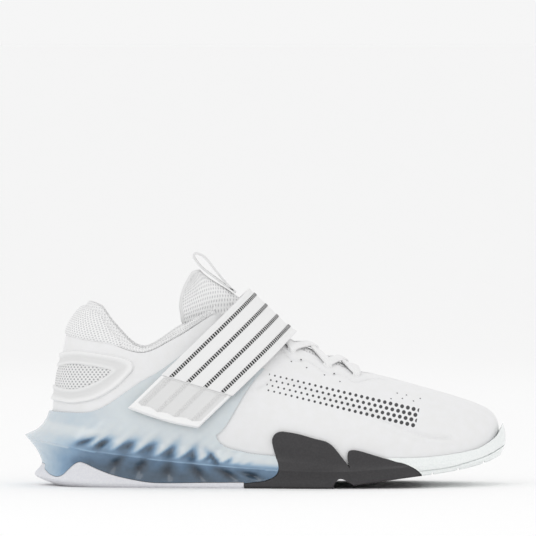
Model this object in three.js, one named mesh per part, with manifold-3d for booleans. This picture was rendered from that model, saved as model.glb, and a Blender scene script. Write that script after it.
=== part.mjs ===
// Weightlifting shoe for the right foot, in millimetres. +X runs to the toe, -Y is the outer side of the
// foot, +Z is up. The origin is on the ground under the middle of the shoe. Every piece is worked out
// from one surface, that of the last: ribs rise from the edge of the foot bed, all the way round, to the
// topline of the ankle or to the ridge over the instep.
import * as THREE from "three";
import { mergeVertices } from "three/addons/utils/BufferGeometryUtils.js";
import Module from "manifold-3d";

const wasm = await Module();
wasm.setup();

// Driving dimensions.
const LENGTH = 301; // from the ridge behind the heel to the toe bumper
const BALL_WIDTH = 97; // the upper across the ball of the foot, at the foot bed
const SEAT_HEIGHT = 28; // the foot bed above the ground, at the heel
const INSTEP_HEIGHT = 115; // the top of the instep above the ground
const CUFF_RISE = 21.3; // the top of the heel pad above the upper's edge there
const TONGUE_RISE = 20; // the top of the tongue above the instep
const WALL = 2.2; // the upper's material
const ANKLE_PADDING = 3; // what padding adds to the upper's wall at the ankle
const GAP = 0.3; // between pieces that meet
const THROAT_HALF_WIDTH = 15; // from the ridge to the edge of the throat
const HEEL_FLARE = 17.2; // how far the ridge of the heel clip stands out behind the heel
const RIDGE_HEIGHT = 31.4; // that ridge above the ground
const TOE_SPRING = 16.6; // the underside of the toe above the ground
const OUTSOLE = 3; // rubber under and around the heel clip
const FILM = 1; // the heel clip's wings, on the upper
const FLAP = 1.8; // the rubber flaps on the forefoot
const FRAME = 1.5; // the moulded frame round the heel window
const MESH_INLAY = 0.7; // the mesh inside that frame
const INSOLE = 4;
const TONGUE = 4;
const LACE_WIDTH = 6;
const LACE = 1.5;
const LACE_ROWS = 4;
const EYELET_RADIUS = 2.4;
const STRAP_WIDTH = 40;
const STRAP = 1.8;
const STRAP_BACKING = 1.2;
const STRAP_TAB = 2.8; // the moulded end of the strap
const LOOP_WIDTH = 9;
const LOOP = 1.2;

const STATIONS = 60; // ribs round the foot
const RIB_STEPS = 8; // steps up a rib
const REACH = 90; // how far cutters run out to either side

const HALF = BALL_WIDTH / 2;
const clamp = THREE.MathUtils.clamp;
const smooth = THREE.MathUtils.smoothstep;
const lerp = THREE.MathUtils.lerp;
const named = (columns, row) => Object.fromEntries(columns.map((name, i) => [name, row[i]]));
const table = (columns, rows) => rows.map((row) => named(columns, row));

// Ribs of the last, from the heel to the toe. x and topX are shares of LENGTH, outer and inner and their
// tops are shares of half the BALL_WIDTH, seat is a share of SEAT_HEIGHT and topZ of INSTEP_HEIGHT. A rib
// leaves the foot bed leaning out by lean, with a handle of rise, and comes to its top with a handle of
// reach and drop. Lean and reach are shares of half the BALL_WIDTH, rise and drop are shares of the rib's
// height.
const RIBS = table(
  [
    "x", "outer", "inner", "seat", "topX", "topZ",
    "topOuter", "topInner", "lean", "rise", "reach", "drop",
  ],
  [
    [0.058, 0.0, 0.0, 1.0, 0.0858, 0.8165, 0.0, 0.0, 0.05, 0.3, 0.105, -0.36],
    [0.07, 0.24, 0.27, 1.0, 0.094, 0.812, 0.25, 0.26, 0.05, 0.3, 0.1, -0.36],
    [0.105, 0.5, 0.53, 1.0, 0.122, 0.797, 0.42, 0.43, 0.06, 0.3, 0.08, -0.36],
    [0.165, 0.64, 0.67, 1.0, 0.17, 0.779, 0.5, 0.51, 0.08, 0.3, 0.05, -0.36],
    [0.238, 0.69, 0.69, 0.97, 0.242, 0.726, 0.54, 0.54, 0.1, 0.32, 0.05, -0.38],
    [0.315, 0.735, 0.68, 0.92, 0.315, 0.808, 0.52, 0.52, 0.1, 0.34, 0.08, -0.36],
    [0.395, 0.795, 0.69, 0.84, 0.392, 0.93, 0.4, 0.41, 0.09, 0.36, 0.2, -0.25],
    [0.475, 0.875, 0.745, 0.74, 0.455, 1.0, -0.03, 0.03, 0.09, 0.4, 0.5, -0.05],
    [0.555, 0.955, 0.84, 0.63, 0.54, 0.815, -0.03, 0.03, 0.09, 0.42, 0.54, -0.01],
    [0.635, 1.0, 0.94, 0.55, 0.625, 0.706, -0.035, 0.035, 0.085, 0.46, 0.56, 0],
    [0.715, 0.985, 1.0, 0.51, 0.692, 0.628, -0.05, 0.05, 0.08, 0.5, 0.56, 0],
    [0.795, 0.895, 0.98, 0.51, 0.757, 0.583, -0.075, 0.075, 0.07, 0.5, 0.54, 0],
    [0.865, 0.735, 0.895, 0.55, 0.825, 0.533, -0.105, 0.105, 0.07, 0.5, 0.5, -0.02],
    [0.925, 0.49, 0.745, 0.63, 0.877, 0.494, -0.135, 0.135, 0.08, 0.5, 0.46, -0.06],
    [0.962, 0.17, 0.52, 0.71, 0.912, 0.464, -0.155, 0.155, 0.1, 0.5, 0.4, -0.12],
    [0.974, -0.17, 0.17, 0.76, 0.93, 0.447, -0.165, 0.165, 0.12, 0.5, 0.37, -0.17],
  ],
);
const LAST_RIB = RIBS.length - 1;
const TOPLINE_END = 6; // the rib where the topline turns into the throat
const THROAT_FRONT = 10.5; // the rib where the throat ends
const THROAT_ROUND = 1; // ribs that its rounded front takes

// The side of the sole at some of the ribs. Widths beyond the last are shares of HEEL_FLARE, heights are
// shares of RIDGE_HEIGHT. The skirt is the bottom edge's bulge, the waist the hollow under the ridge, the
// cove the one above it.
const FLANKS = table(
  [
    "rib", "foot", "skirt", "skirtZ", "waist", "waistZ", "under", "underZ",
    "ridge", "ridgeZ", "cove", "coveZ", "wall", "wallZ", "rim", "rimZ",
  ],
  [
    [0, -0.14, 0.66, 0.22, 0.4, 0.44, 0.54, 0.66, 1.0, 1.0, 0.46, 1.15, 0.19, 1.36, 0.14, 1.46],
    [1.5, 0.05, 0.5, 0.15, 0.36, 0.4, 0.46, 0.6, 0.84, 0.9, 0.42, 1.08, 0.17, 1.32, 0.12, 1.47],
    [3, 0.2, 0.38, 0.1, 0.3, 0.34, 0.36, 0.5, 0.62, 0.69, 0.32, 0.9, 0.14, 1.2, 0.076, 1.44],
    [5, 0.26, 0.35, 0.06, 0.32, 0.22, 0.36, 0.36, 0.52, 0.52, 0.29, 0.7, 0.13, 0.95, 0.076, 1.22],
    [7, 0.3, 0.36, 0.05, 0.35, 0.16, 0.38, 0.27, 0.45, 0.395, 0.28, 0.5, 0.15, 0.64, 0.076, 0.83],
    [9, 0.3, 0.36, 0.05, 0.36, 0.15, 0.38, 0.25, 0.42, 0.335, 0.24, 0.42, 0.14, 0.5, 0.11, 0.6],
    [11, 0.26, 0.31, 0.26, 0.32, 0.31, 0.33, 0.37, 0.34, 0.43, 0.25, 0.47, 0.17, 0.54, 0.12, 0.6],
    [13, 0.2, 0.28, 0.44, 0.31, 0.48, 0.32, 0.52, 0.31, 0.57, 0.27, 0.62, 0.22, 0.68, 0.16, 0.74],
    [14, 0.12, 0.27, 0.55, 0.32, 0.6, 0.34, 0.66, 0.33, 0.73, 0.29, 0.8, 0.24, 0.88, 0.18, 0.98],
    [15, 0.02, 0.27, 0.61, 0.34, 0.7, 0.34, 0.79, 0.31, 0.9, 0.26, 1.02, 0.21, 1.13, 0.18, 1.23],
  ],
);

// The underside along the shoe: x as a share of LENGTH, z as a share of TOE_SPRING.
const GROUND = [
  { x: -0.1, z: 0 },
  { x: 0.6, z: 0 },
  { x: 0.64, z: 0.01 },
  { x: 0.69, z: 0.14 },
  { x: 0.79, z: 0.39 },
  { x: 0.866, z: 0.56 },
  { x: 0.925, z: 0.745 },
  { x: 0.977, z: 1.0 },
  { x: 1.1, z: 1.6 },
];

// A smooth curve through points that never swings past them. The slope at each point is the weighted
// harmonic mean of the chords beside it, and 0 at a peak. On a closed curve the period is where it begins
// again; an open one ends level.
function curve(knots, values, period = 0) {
  const n = knots.length;
  const step = (i) => (i < n - 1 ? knots[i + 1] - knots[i] : period - knots[n - 1]);
  const rise = (i) => (values[(i + 1) % n] - values[i]) / step(i);
  const slopes = values.map((_, i) => {
    if (!period && (i === 0 || i === n - 1)) return 0;
    const before = (i + n - 1) % n;
    const [d0, d1] = [rise(before), rise(i)];
    if (d0 * d1 <= 0) return 0;
    const [h0, h1] = [step(before), step(i)];
    return (3 * (h0 + h1)) / ((2 * h1 + h0) / d0 + (h1 + 2 * h0) / d1);
  });
  return (at) => {
    const a = period ? ((at % period) + period) % period : clamp(at, knots[0], knots[n - 1]);
    let i = knots.findLastIndex((k) => k <= a + 1e-9);
    if (!period) i = Math.min(i, n - 2);
    const h = step(i);
    const t = (a - knots[i]) / h;
    const j = (i + 1) % n;
    const bump = t * t * (3 - 2 * t);
    const swing = slopes[i] * t * (1 - t) ** 2 - slopes[j] * t * t * (1 - t);
    return values[i] * (1 - bump) + values[j] * bump + h * swing;
  };
}

// The ribs as closed curves round the foot: 0 behind the heel, LAST_RIB at the toe by way of the outer
// side, then back.
const ROUND = 2 * LAST_RIB;
const loop = (outer, inner) =>
  curve(
    Array.from({ length: ROUND }, (_, i) => i),
    Array.from({ length: ROUND }, (_, i) => (i <= LAST_RIB ? outer(RIBS[i]) : inner(RIBS[ROUND - i]))),
    ROUND,
  );
const both = (of) => loop(of, of);
const last = {
  x: both((r) => r.x * LENGTH),
  y: loop((r) => -r.outer * HALF, (r) => r.inner * HALF),
  seat: both((r) => r.seat * SEAT_HEIGHT),
  topX: both((r) => r.topX * LENGTH),
  topY: loop((r) => -r.topOuter * HALF, (r) => r.topInner * HALF),
  topZ: both((r) => r.topZ * INSTEP_HEIGHT),
  lean: both((r) => r.lean * HALF),
  rise: both((r) => r.rise),
  reach: both((r) => r.reach * HALF),
  drop: both((r) => r.drop),
};
const flank = Object.fromEntries(
  Object.keys(FLANKS[0])
    .filter((key) => key !== "rib")
    .map((key) => {
      const unit = key.endsWith("Z") ? RIDGE_HEIGHT : HEEL_FLARE;
      return [key, curve(FLANKS.map((f) => f.rib), FLANKS.map((f) => f[key] * unit))];
    }),
);
const ground = curve(GROUND.map((g) => g.x * LENGTH), GROUND.map((g) => g.z * TOE_SPRING));

// How many ribs forward of the heel a place round the foot is, on either side.
const along = (w) => Math.min(w, ROUND - w);

// The level direction out of the foot at a place round it.
function outward(w) {
  const e = 0.05;
  const [tx, ty] = [last.x(w + e) - last.x(w - e), last.y(w + e) - last.y(w - e)];
  return new THREE.Vector3(ty, -tx, 0).normalize();
}

// One rib as a Bezier curve from the foot bed to its top.
const ribs = new Map();
function rib(w) {
  if (!ribs.has(w)) {
    const out = outward(w);
    const foot = new THREE.Vector3(last.x(w), last.y(w), last.seat(w));
    const top = new THREE.Vector3(last.topX(w), last.topY(w), last.topZ(w));
    const height = top.z - foot.z;
    const lower = foot.clone().addScaledVector(out, last.lean(w));
    lower.z += last.rise(w) * height;
    const upper = top.clone().addScaledVector(out, last.reach(w));
    upper.z += last.drop(w) * height;
    ribs.set(w, new THREE.CubicBezierCurve3(foot, lower, upper, top));
  }
  return ribs.get(w);
}

const isRidge = (w) => along(w) >= TOPLINE_END + 1;

// The last's outward normal, the same from both sides on the ridge.
function oneSided(w, t) {
  const e = 0.04;
  const across = rib(w + e).getPoint(t).sub(rib(w - e).getPoint(t));
  const up = rib(w).getTangent(clamp(t, 0.001, 0.999));
  return across.cross(up).normalize();
}
function normal(w, t) {
  const n = oneSided(w, t);
  return t > 0.999 && isRidge(w) ? n.add(oneSided(ROUND - w, t)).normalize() : n;
}
const onLast = (w, t, off) => rib(w).getPoint(t).addScaledVector(normal(w, t), off);

// Where a rib reaches a height.
function shareAt(w, z) {
  const r = rib(w);
  let [low, high] = [0, 1];
  for (let i = 0; i < 20; i += 1) {
    const mid = (low + high) / 2;
    if (r.getPoint(mid).z < z) low = mid;
    else high = mid;
  }
  return low;
}

// Solids and meshes.
function solidOf(positions, indices) {
  const raw = new THREE.BufferGeometry();
  raw.setAttribute("position", new THREE.Float32BufferAttribute(positions, 3));
  raw.setIndex(indices);
  return solidOfGeometry(raw);
}
function solidOfGeometry(geometry) {
  const bare = geometry.index ? geometry.toNonIndexed() : geometry.clone();
  bare.deleteAttribute("normal");
  bare.deleteAttribute("uv");
  const merged = mergeVertices(bare, 1e-4);
  const kept = [];
  const index = merged.index.array;
  for (let i = 0; i < index.length; i += 3) {
    const [a, b, c] = index.slice(i, i + 3);
    if (a !== b && b !== c && a !== c) kept.push(a, b, c);
  }
  const vertProperties = merged.attributes.position.array;
  const made = (triangles) =>
    new wasm.Manifold(new wasm.Mesh({ numProp: 3, vertProperties, triVerts: new Uint32Array(triangles) }));
  const first = made(kept);
  return first.volume() > 0 ? first : made(kept.reverse());
}
function geometryOf(solid) {
  const mesh = solid.getMesh();
  const positions = new Float32Array(mesh.numVert * 3);
  for (let i = 0; i < mesh.numVert; i += 1) {
    positions.set(mesh.vertProperties.subarray(i * mesh.numProp, i * mesh.numProp + 3), i * 3);
  }
  const geometry = new THREE.BufferGeometry();
  geometry.setAttribute("position", new THREE.BufferAttribute(positions, 3));
  geometry.setIndex(new THREE.BufferAttribute(new Uint32Array(mesh.triVerts), 1));
  return geometry;
}
const joined = (solids) => solids.reduce((sum, solid) => sum.add(solid));

// A grid of points as faces. Rows may close on themselves.
function grid(positions, indices, rows, closed) {
  const start = positions.length / 3;
  rows.forEach((row) => row.forEach((p) => positions.push(p.x, p.y, p.z)));
  const n = rows[0].length;
  for (let j = 0; j < rows.length - 1; j += 1) {
    for (let i = 0; i < (closed ? n : n - 1); i += 1) {
      const a = start + j * n + i;
      const b = start + j * n + ((i + 1) % n);
      indices.push(a, b, b + n, a, b + n, a + n);
    }
  }
  return start;
}

// A solid through level loops round the foot, shut below and above by strips from its outer to its inner
// side.
function stack(loops) {
  const [positions, indices] = [[], []];
  grid(positions, indices, loops, true);
  const n = loops[0].length;
  const lid = (start, turned) => {
    for (let i = 0; i < n / 2; i += 1) {
      const quad = [i, i + 1, n - i - 1, (n - i) % n].map((k) => start + k);
      const faces = [quad[0], quad[1], quad[2], quad[0], quad[2], quad[3]];
      indices.push(...(turned ? faces.reverse() : faces));
    }
  };
  lid(0, true);
  lid((loops.length - 1) * n, false);
  return solidOf(positions, indices);
}

// A solid bar through closed sections, with flat ends.
function bar(sections) {
  const [positions, indices] = [[], []];
  grid(positions, indices, sections, true);
  const n = sections[0].length;
  const end = (start, turned) => {
    for (let i = 1; i < n - 1; i += 1) {
      const face = [start, start + i, start + i + 1];
      indices.push(...(turned ? face.reverse() : face));
    }
  };
  end(0, true);
  end((sections.length - 1) * n, false);
  return solidOf(positions, indices);
}

// A solid sheet between an upper and a lower grid of points.
function sheet(upper, lower) {
  const [positions, indices] = [[], []];
  const a = grid(positions, indices, upper, false);
  const b = grid(positions, indices, lower.map((row) => [...row]), false);
  indices.push(...indices.splice(indices.length / 2).reverse());
  const [rows, n] = [upper.length, upper[0].length];
  const rim = [];
  for (let i = 0; i < n; i += 1) rim.push(i);
  for (let j = 1; j < rows; j += 1) rim.push(j * n + n - 1);
  for (let i = n - 2; i >= 0; i -= 1) rim.push((rows - 1) * n + i);
  for (let j = rows - 2; j > 0; j -= 1) rim.push(j * n);
  rim.forEach((p, k) => {
    const q = rim[(k + 1) % rim.length];
    indices.push(a + p, b + p, b + q, a + p, b + q, a + q);
  });
  return solidOf(positions, indices);
}

// A prism across the shoe. Its outline is seen from the outer side: points are [share of LENGTH, height].
function sidePrism(points, from, to) {
  const shape = new THREE.Shape(points.map(([x, z]) => new THREE.Vector2(x * LENGTH, z)));
  const prism = new THREE.ExtrudeGeometry(shape, { depth: to - from, bevelEnabled: false, curveSegments: 1 });
  return solidOfGeometry(prism.rotateX(Math.PI / 2).translate(0, to, 0));
}

const places = Array.from({ length: STATIONS }, (_, i) => (i * ROUND) / STATIONS);
const ribShares = Array.from({ length: RIB_STEPS + 1 }, (_, j) => j / RIB_STEPS);

// The last, filled, and grown by off all round.
function lastSolid(off, below = 0) {
  return stack(
    ribShares.map((t, j) =>
      places.map((w) => {
        const p = onLast(w, t, off);
        if (j === 0) p.z -= below;
        return p;
      }),
    ),
  );
}
const lastShell = (inside, outside) => lastSolid(outside).subtract(lastSolid(inside, GAP));

// The upper's end on a rib: all of it at the collar and over the toes, and less beside the throat.
function ribEnd(w) {
  const a = along(w);
  if (a <= TOPLINE_END || a >= THROAT_FRONT) return 1;
  const corner = Math.min(1, a - TOPLINE_END);
  const front = Math.min(1, Math.sqrt((THROAT_FRONT - a) / THROAT_ROUND));
  return 1 - (THROAT_HALF_WIDTH * Math.min(corner, front)) / rib(w).getLength();
}

// The upper's wall is thicker round the ankle: from PADDING_FROM up its ribs, and behind PADDING_END.
const PADDING_FROM = [0.35, 0.85];
const PADDING_END = [5, 7];
const padding = (w, t) => smooth(t, ...PADDING_FROM) * (1 - smooth(along(w), ...PADDING_END));
const wallAt = (w, t) => WALL + ANKLE_PADDING * padding(w, t);

// Near the throat the upper part of each rib is cut shorter, and the part below stays as it is.
const CUT_FROM = 0.72;
const shareOf = (w, t) => (t <= CUT_FROM ? t : CUT_FROM + ((t - CUT_FROM) * (ribEnd(w) - CUT_FROM)) / (1 - CUT_FROM));

function upperWall(grow = 0) {
  const [positions, indices] = [[], []];
  const more = (w) => (ribEnd(w) < 1 || along(w) <= TOPLINE_END ? grow / rib(w).getLength() : 0);
  const rows = (off) =>
    ribShares.map((t) => places.map((w) => onLast(w, shareOf(w, t) + (t === 1 ? more(w) : 0), off(w, t))));
  grid(positions, indices, rows(() => grow), true);
  const outerFaces = indices.length;
  const inside = grid(positions, indices, rows((w, t) => -wallAt(w, t) - grow), true);
  indices.push(...indices.splice(outerFaces).reverse());
  const edge = (ring, turned) => {
    for (let i = 0; i < STATIONS; i += 1) {
      const next = (i + 1) % STATIONS;
      const [a, b] = [ring * STATIONS + i, ring * STATIONS + next];
      const open = ring === 0 || ribEnd(places[i]) < 1 || ribEnd(places[next]) < 1 || !isRidge(places[i]);
      if (!open) continue;
      const faces = [a, inside + a, inside + b, a, inside + b, b];
      indices.push(...(turned ? faces.reverse() : faces));
    }
  };
  edge(0, false);
  edge(RIB_STEPS, true);
  return solidOf(positions, indices);
}
const makeUpper = () => upperWall().subtract(joined(eyeletHoles()));

// Places of the lace's eyelets: ribs along the throat, and the distance from the throat's edge.
const EYELET_BACK = 7.35;
const EYELET_FRONT = 9.85;
const EYELET_INSET = 6;
const EYELET_DRILL = 4 * WALL; // long enough to go through the wall
const eyeletRibs = Array.from({ length: LACE_ROWS }, (_, k) => lerp(EYELET_FRONT, EYELET_BACK, k / (LACE_ROWS - 1)));
const sides = [(a) => a, (a) => ROUND - a];
const eyeletShare = (w) => ribEnd(w) - EYELET_INSET / rib(w).getLength();
function eyeletHoles() {
  return eyeletRibs.flatMap((a) =>
    sides.map((side) => {
      const w = side(a);
      const [centre, axis] = [onLast(w, eyeletShare(w), 0), normal(w, eyeletShare(w))];
      const drill = new THREE.CylinderGeometry(EYELET_RADIUS, EYELET_RADIUS, EYELET_DRILL, 8);
      drill.applyQuaternion(new THREE.Quaternion().setFromUnitVectors(new THREE.Vector3(0, 1, 0), axis));
      return solidOfGeometry(drill.translate(centre.x, centre.y, centre.z));
    }),
  );
}

// The sole's side is at least this far above its underside: at its skirt, and above that.
const SKIRT_LIFT = 0.8;
const SIDE_LIFT = 1;

// The sole as one form, from the ground to its rim, before it is parted. Inset moves its side in, and
// bottom lifts it.
function soleForm(inset = 0, bottom = 0) {
  const steps = [
    ["foot", null],
    ["skirt", "skirtZ"],
    ["waist", "waistZ"],
    ["under", "underZ"],
    ["ridge", "ridgeZ"],
    ["cove", "coveZ"],
    ["wall", "wallZ"],
    ["rim", "rimZ"],
  ];
  return stack(
    steps.map(([width, height]) =>
      places.map((w) => {
        const a = along(w);
        const z = height ? flank[height](a) : 0;
        const base = rib(w).getPoint(shareAt(w, z));
        const p = base.addScaledVector(outward(w), flank[width](a) - inset);
        const floor = ground(p.x) + bottom;
        p.z = height ? Math.max(z, floor + (width === "skirt" ? SKIRT_LIFT : SIDE_LIFT)) : floor;
        return p;
      }),
    ),
  );
}

// The edge of the white rubber round the heel, seen from the side, from the back to where the dark rubber
// begins.
const HEEL_RUBBER_EDGE = [
  [-0.02, 13.7], [0.0366, 13.9], [0.042, 10.6], [0.05, 8], [0.06, 6.6], [0.069, 6.2], [0.08, 7.4], [0.092, 10.8],
  [0.104, 14.1], [0.115, 15.6], [0.127, 14.8], [0.147, 12], [0.171, 9.1], [0.195, 6.9], [0.229, 4.7], [0.262, 3.2],
  [0.3, 2.9], [0.373, 3.3], [0.4552, 3.6],
];
const HEEL_RUBBER_END = 0.4552;
// The dark rubber of the forefoot, with its two flaps on the outer side.
const FOREFOOT_OUTER_BACK = [
  [0.498, 4.4], [0.5188, 7.3], [0.5267, 11.1], [0.5262, 15.4], [0.5205, 20.1], [0.5149, 25.9], [0.5132, 30.2],
  [0.5188, 33.6], [0.53, 35.2], [0.5458, 34.9], [0.5697, 33.6], [0.6014, 30.9], [0.6237, 29.2], [0.638, 26.4],
  [0.649, 22.5], [0.665, 16.3],
];
const FOREFOOT_OUTER_FRONT = [
  [0.6745, 12.4], [0.669, 17.2], [0.6694, 22.1], [0.6758, 23.8], [0.6916, 23.5], [0.7186, 21.1], [0.7441, 18.7],
  [0.768, 16.3], [0.7821, 15.4], [0.7981, 13.4], [0.8108, 11.1], [0.8233, 7.5],
];
const FOREFOOT_INNER = [
  [0.498, 4.4], [0.5188, 7.3], [0.531, 12], [0.545, 16.5], [0.57, 19.5], [0.62, 21], [0.68, 20.6], [0.735, 18.4],
  [0.7821, 15.4], [0.7981, 13.4], [0.8108, 11.1], [0.8233, 7.5],
];
const FOREFOOT_END = 0.827;
const FOREFOOT_BACK_EDGE = 2.9; // how high the dark rubber begins
const HEEL_SIDE_POINTS = 7; // points of the outer flap that face the heel
const HEEL_SIDE_POINTS_INNER = 4;
const BELOW = -5; // under the ground, where cutters begin
// A wing of the heel clip on the side of the upper.
const WING = [
  [-0.02, 36], [-0.02, 46.8], [0.062, 46.4], [0.1, 46.2], [0.137, 46.8], [0.171, 51], [0.202, 57.3], [0.241, 65.4],
  [0.2727, 70.7], [0.3045, 77.4], [0.345, 86], [0.37, 90], [0.47, 76], [0.498, 73.8], [0.464, 62], [0.4205, 40.2],
  [0.4048, 34.5], [0.3984, 32.6], [0.403, 28.8], [0.4158, 25.8], [0.433, 24], [0.449, 23], [0.474, 21.4],
  [0.519, 20], [0.52, 14], [0.3, 20],
];
// Pockets in the side of the heel clip: place, half length, half height and slant in degrees.
const POCKETS = table(
  ["x", "z", "long", "high", "slant"],
  [
    [0.123, 28.2, 5.2, 1.3, 24],
    [0.163, 26.6, 4.8, 2.2, 34],
    [0.216, 25.2, 4.8, 2.4, 38],
    [0.261, 23.4, 4.6, 2.4, 42],
    [0.303, 21.4, 4.2, 2.4, 46],
    [0.348, 19.6, 3.4, 2.2, 60],
    [0.19, 14.6, 4.6, 2.2, 40],
    [0.24, 12, 4.4, 2.3, 48],
    [0.298, 10.2, 3.6, 2.6, 80],
    [0.36, 9, 4.2, 2.2, 135],
    [0.422, 8.2, 4.4, 1.8, 152],
  ],
);
const POCKET_DEPTH = 7;

const shifted = (points, dx, dz) => points.map(([x, z]) => [x + dx / LENGTH, z + dz]);
const under = (edge, end) => [[-0.03, BELOW], ...edge, [end, BELOW]];
const forefootUnder = (grow, edge) => {
  const back = HEEL_RUBBER_END + (GAP / 2 - grow) / LENGTH;
  return [[back, BELOW], [back, FOREFOOT_BACK_EDGE + grow], ...edge, [FOREFOOT_END + grow / LENGTH, BELOW]];
};
const forefootOuter = (grow) =>
  forefootUnder(grow, [
    ...shifted(FOREFOOT_OUTER_BACK.slice(0, HEEL_SIDE_POINTS), -grow, grow),
    ...shifted(FOREFOOT_OUTER_BACK.slice(HEEL_SIDE_POINTS), 0, grow),
    ...shifted(FOREFOOT_OUTER_FRONT.slice(0, 4), 2 * grow, grow),
    ...shifted(FOREFOOT_OUTER_FRONT.slice(4), grow, grow),
  ]);
const forefootInner = (grow) =>
  forefootUnder(grow, [
    ...shifted(FOREFOOT_INNER.slice(0, HEEL_SIDE_POINTS_INNER), -grow, grow),
    ...shifted(FOREFOOT_INNER.slice(HEEL_SIDE_POINTS_INNER), grow, grow),
  ]);
const forefootRegion = (grow) =>
  sidePrism(forefootOuter(grow), -REACH, 0).add(sidePrism(forefootInner(grow), -1, REACH));
const heelRegion = (grow) =>
  sidePrism(under(shifted(HEEL_RUBBER_EDGE, 0, grow), HEEL_RUBBER_END + (grow - GAP / 2) / LENGTH), -REACH, REACH);

// Grooves of the tread: x as a share of LENGTH, and depth and width.
const GROOVES = table(
  ["x", "depth", "width"],
  [
    [0.12, 1.4, 3],
    [0.18, 1.4, 3],
    [0.24, 1.4, 3],
    [0.3, 1.4, 3],
    [0.52, 1.6, 2.4],
    [0.57, 1.6, 2.4],
    [0.615, 1.6, 2.4],
    [0.72, 1.8, 2.4],
    [0.77, 1.8, 2.4],
  ],
);
// Small notches that run out through the toe's side.
const TICKS = table(
  ["x", "depth", "width"],
  [
    [0.844, 1.1, 1.2],
    [0.898, 1.2, 1.2],
    [0.951, 1.3, 1.2],
  ],
);
const TREAD_EDGE = 5; // the tread's grooves stop short of the sole's side
// The notch across the ball of the foot, where the sole bends.
const FLEX = [
  [0.638, -5], [0.6405, 2.4], [0.645, 4.6], [0.651, 6], [0.658, 6], [0.668, 4.6], [0.684, 1.8], [0.69, -5],
];
function grooveCutters() {
  const cut = ({ x, depth, width }) => {
    const [a, b] = [x - width / 2 / LENGTH, x + width / 2 / LENGTH];
    const z = ground(x * LENGTH) + depth;
    return sidePrism([[a, BELOW], [b, BELOW], [b, z], [a, z]], -REACH, REACH);
  };
  const across = joined(GROOVES.map(cut)).intersect(soleForm(TREAD_EDGE, -OUTSOLE));
  return joined([across, sidePrism(FLEX, -REACH, REACH), ...TICKS.map(cut)]);
}

// A block over part of the shoe's length, given in shares of it, between two heights.
const block = (from, to, low, high) =>
  sidePrism([[from, low], [to, low], [to, high], [from, high]], -REACH, REACH);
const FLAP_BASE = 12; // the rubber's flaps begin above this height
const TOE_START = 0.74; // the toe's rubber reaches back to here, under the upper
const CLIP_END = 0.56; // and the heel clip reaches forward to here

function makeSole() {
  const grooves = grooveCutters();
  const form = soleForm().subtract(lastSolid(GAP, GAP));
  const core = soleForm(OUTSOLE, OUTSOLE);
  const clipCore = soleForm(OUTSOLE + GAP, OUTSOLE + GAP);
  const heelRubber = heelRegion(0).intersect(form).subtract(core).subtract(grooves);
  const flapRegion = forefootRegion(0).subtract(block(0, 1, BELOW, FLAP_BASE));
  const flaps = lastShell(GAP, GAP + FLAP).intersect(flapRegion);
  const forefoot = form.intersect(forefootRegion(0)).add(flaps).subtract(grooves);
  const behindToe = block(-0.1, TOE_START, 2 * BELOW, 2 * RIDGE_HEIGHT);
  const toe = form.subtract(forefootRegion(GAP)).subtract(behindToe).subtract(grooves);
  const wings = lastShell(GAP, GAP + FILM).intersect(sidePrism(WING, -REACH, REACH));
  const pockets = joined(POCKETS.map(pocket)).subtract(soleForm(POCKET_DEPTH));
  const clip = form
    .subtract(block(CLIP_END, 1.1, 2 * BELOW, INSTEP_HEIGHT))
    .add(wings)
    .subtract(forefootRegion(GAP))
    .subtract(heelRegion(GAP).subtract(clipCore))
    .subtract(pockets);
  return { heelRubber, forefoot, toe, clip };
}

function pocket({ x, z, long, high, slant }) {
  const turn = THREE.MathUtils.degToRad(slant);
  const corners = Array.from({ length: 6 }, (_, i) => {
    const a = (i / 6) * 2 * Math.PI;
    const [u, v] = [long * Math.cos(a), high * Math.sin(a)];
    return [x + (u * Math.cos(turn) - v * Math.sin(turn)) / LENGTH, z + u * Math.sin(turn) + v * Math.cos(turn)];
  });
  return sidePrism(corners, -REACH, REACH);
}

const biggest = (solid) => solid.decompose().reduce((a, b) => (a.volume() > b.volume() ? a : b));

// The moulded frame round the heel window, and the mesh inside it, both wrapped round the back of the heel.
const FRAME_EDGE = [
  [0.02, 83], [0.0762, 82.3], [0.107, 84.6], [0.139, 83.6], [0.171, 82.2], [0.2025, 80.2], [0.2215, 77.8],
  [0.228, 75], [0.2152, 68.8], [0.1946, 62.6], [0.163, 56.4], [0.131, 53], [0.0993, 51.6], [0.0754, 52.6],
  [0.058, 54], [0.02, 54.4],
];
const WINDOW_EDGE = [
  [0.02, 73.5], [0.069, 74], [0.0993, 76], [0.1231, 75.5], [0.155, 74.1], [0.1775, 72.6], [0.179, 71.6],
  [0.1676, 68.8], [0.1468, 65], [0.1231, 62.1], [0.0993, 60.6], [0.0754, 61.6], [0.0611, 63.1], [0.02, 64],
];
const inward = (points, centre, by) =>
  points.map(([x, z]) => {
    const [dx, dz] = [(centre[0] - x) * LENGTH, centre[1] - z];
    const d = Math.hypot(dx, dz);
    return [x + (dx * by) / d / LENGTH, z + (dz * by) / d];
  });
const WINDOW_CENTRE = [0.11, 68];

function makeHeelWindow() {
  const frame = lastShell(GAP, GAP + FRAME)
    .intersect(sidePrism(FRAME_EDGE, -REACH, REACH))
    .subtract(sidePrism(WINDOW_EDGE, -REACH, REACH));
  const inside = sidePrism(inward(WINDOW_EDGE, WINDOW_CENTRE, GAP), -REACH, REACH);
  const mesh = lastShell(GAP, GAP + MESH_INLAY).intersect(inside);
  return { frame: biggest(frame), mesh: biggest(mesh) };
}

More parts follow.
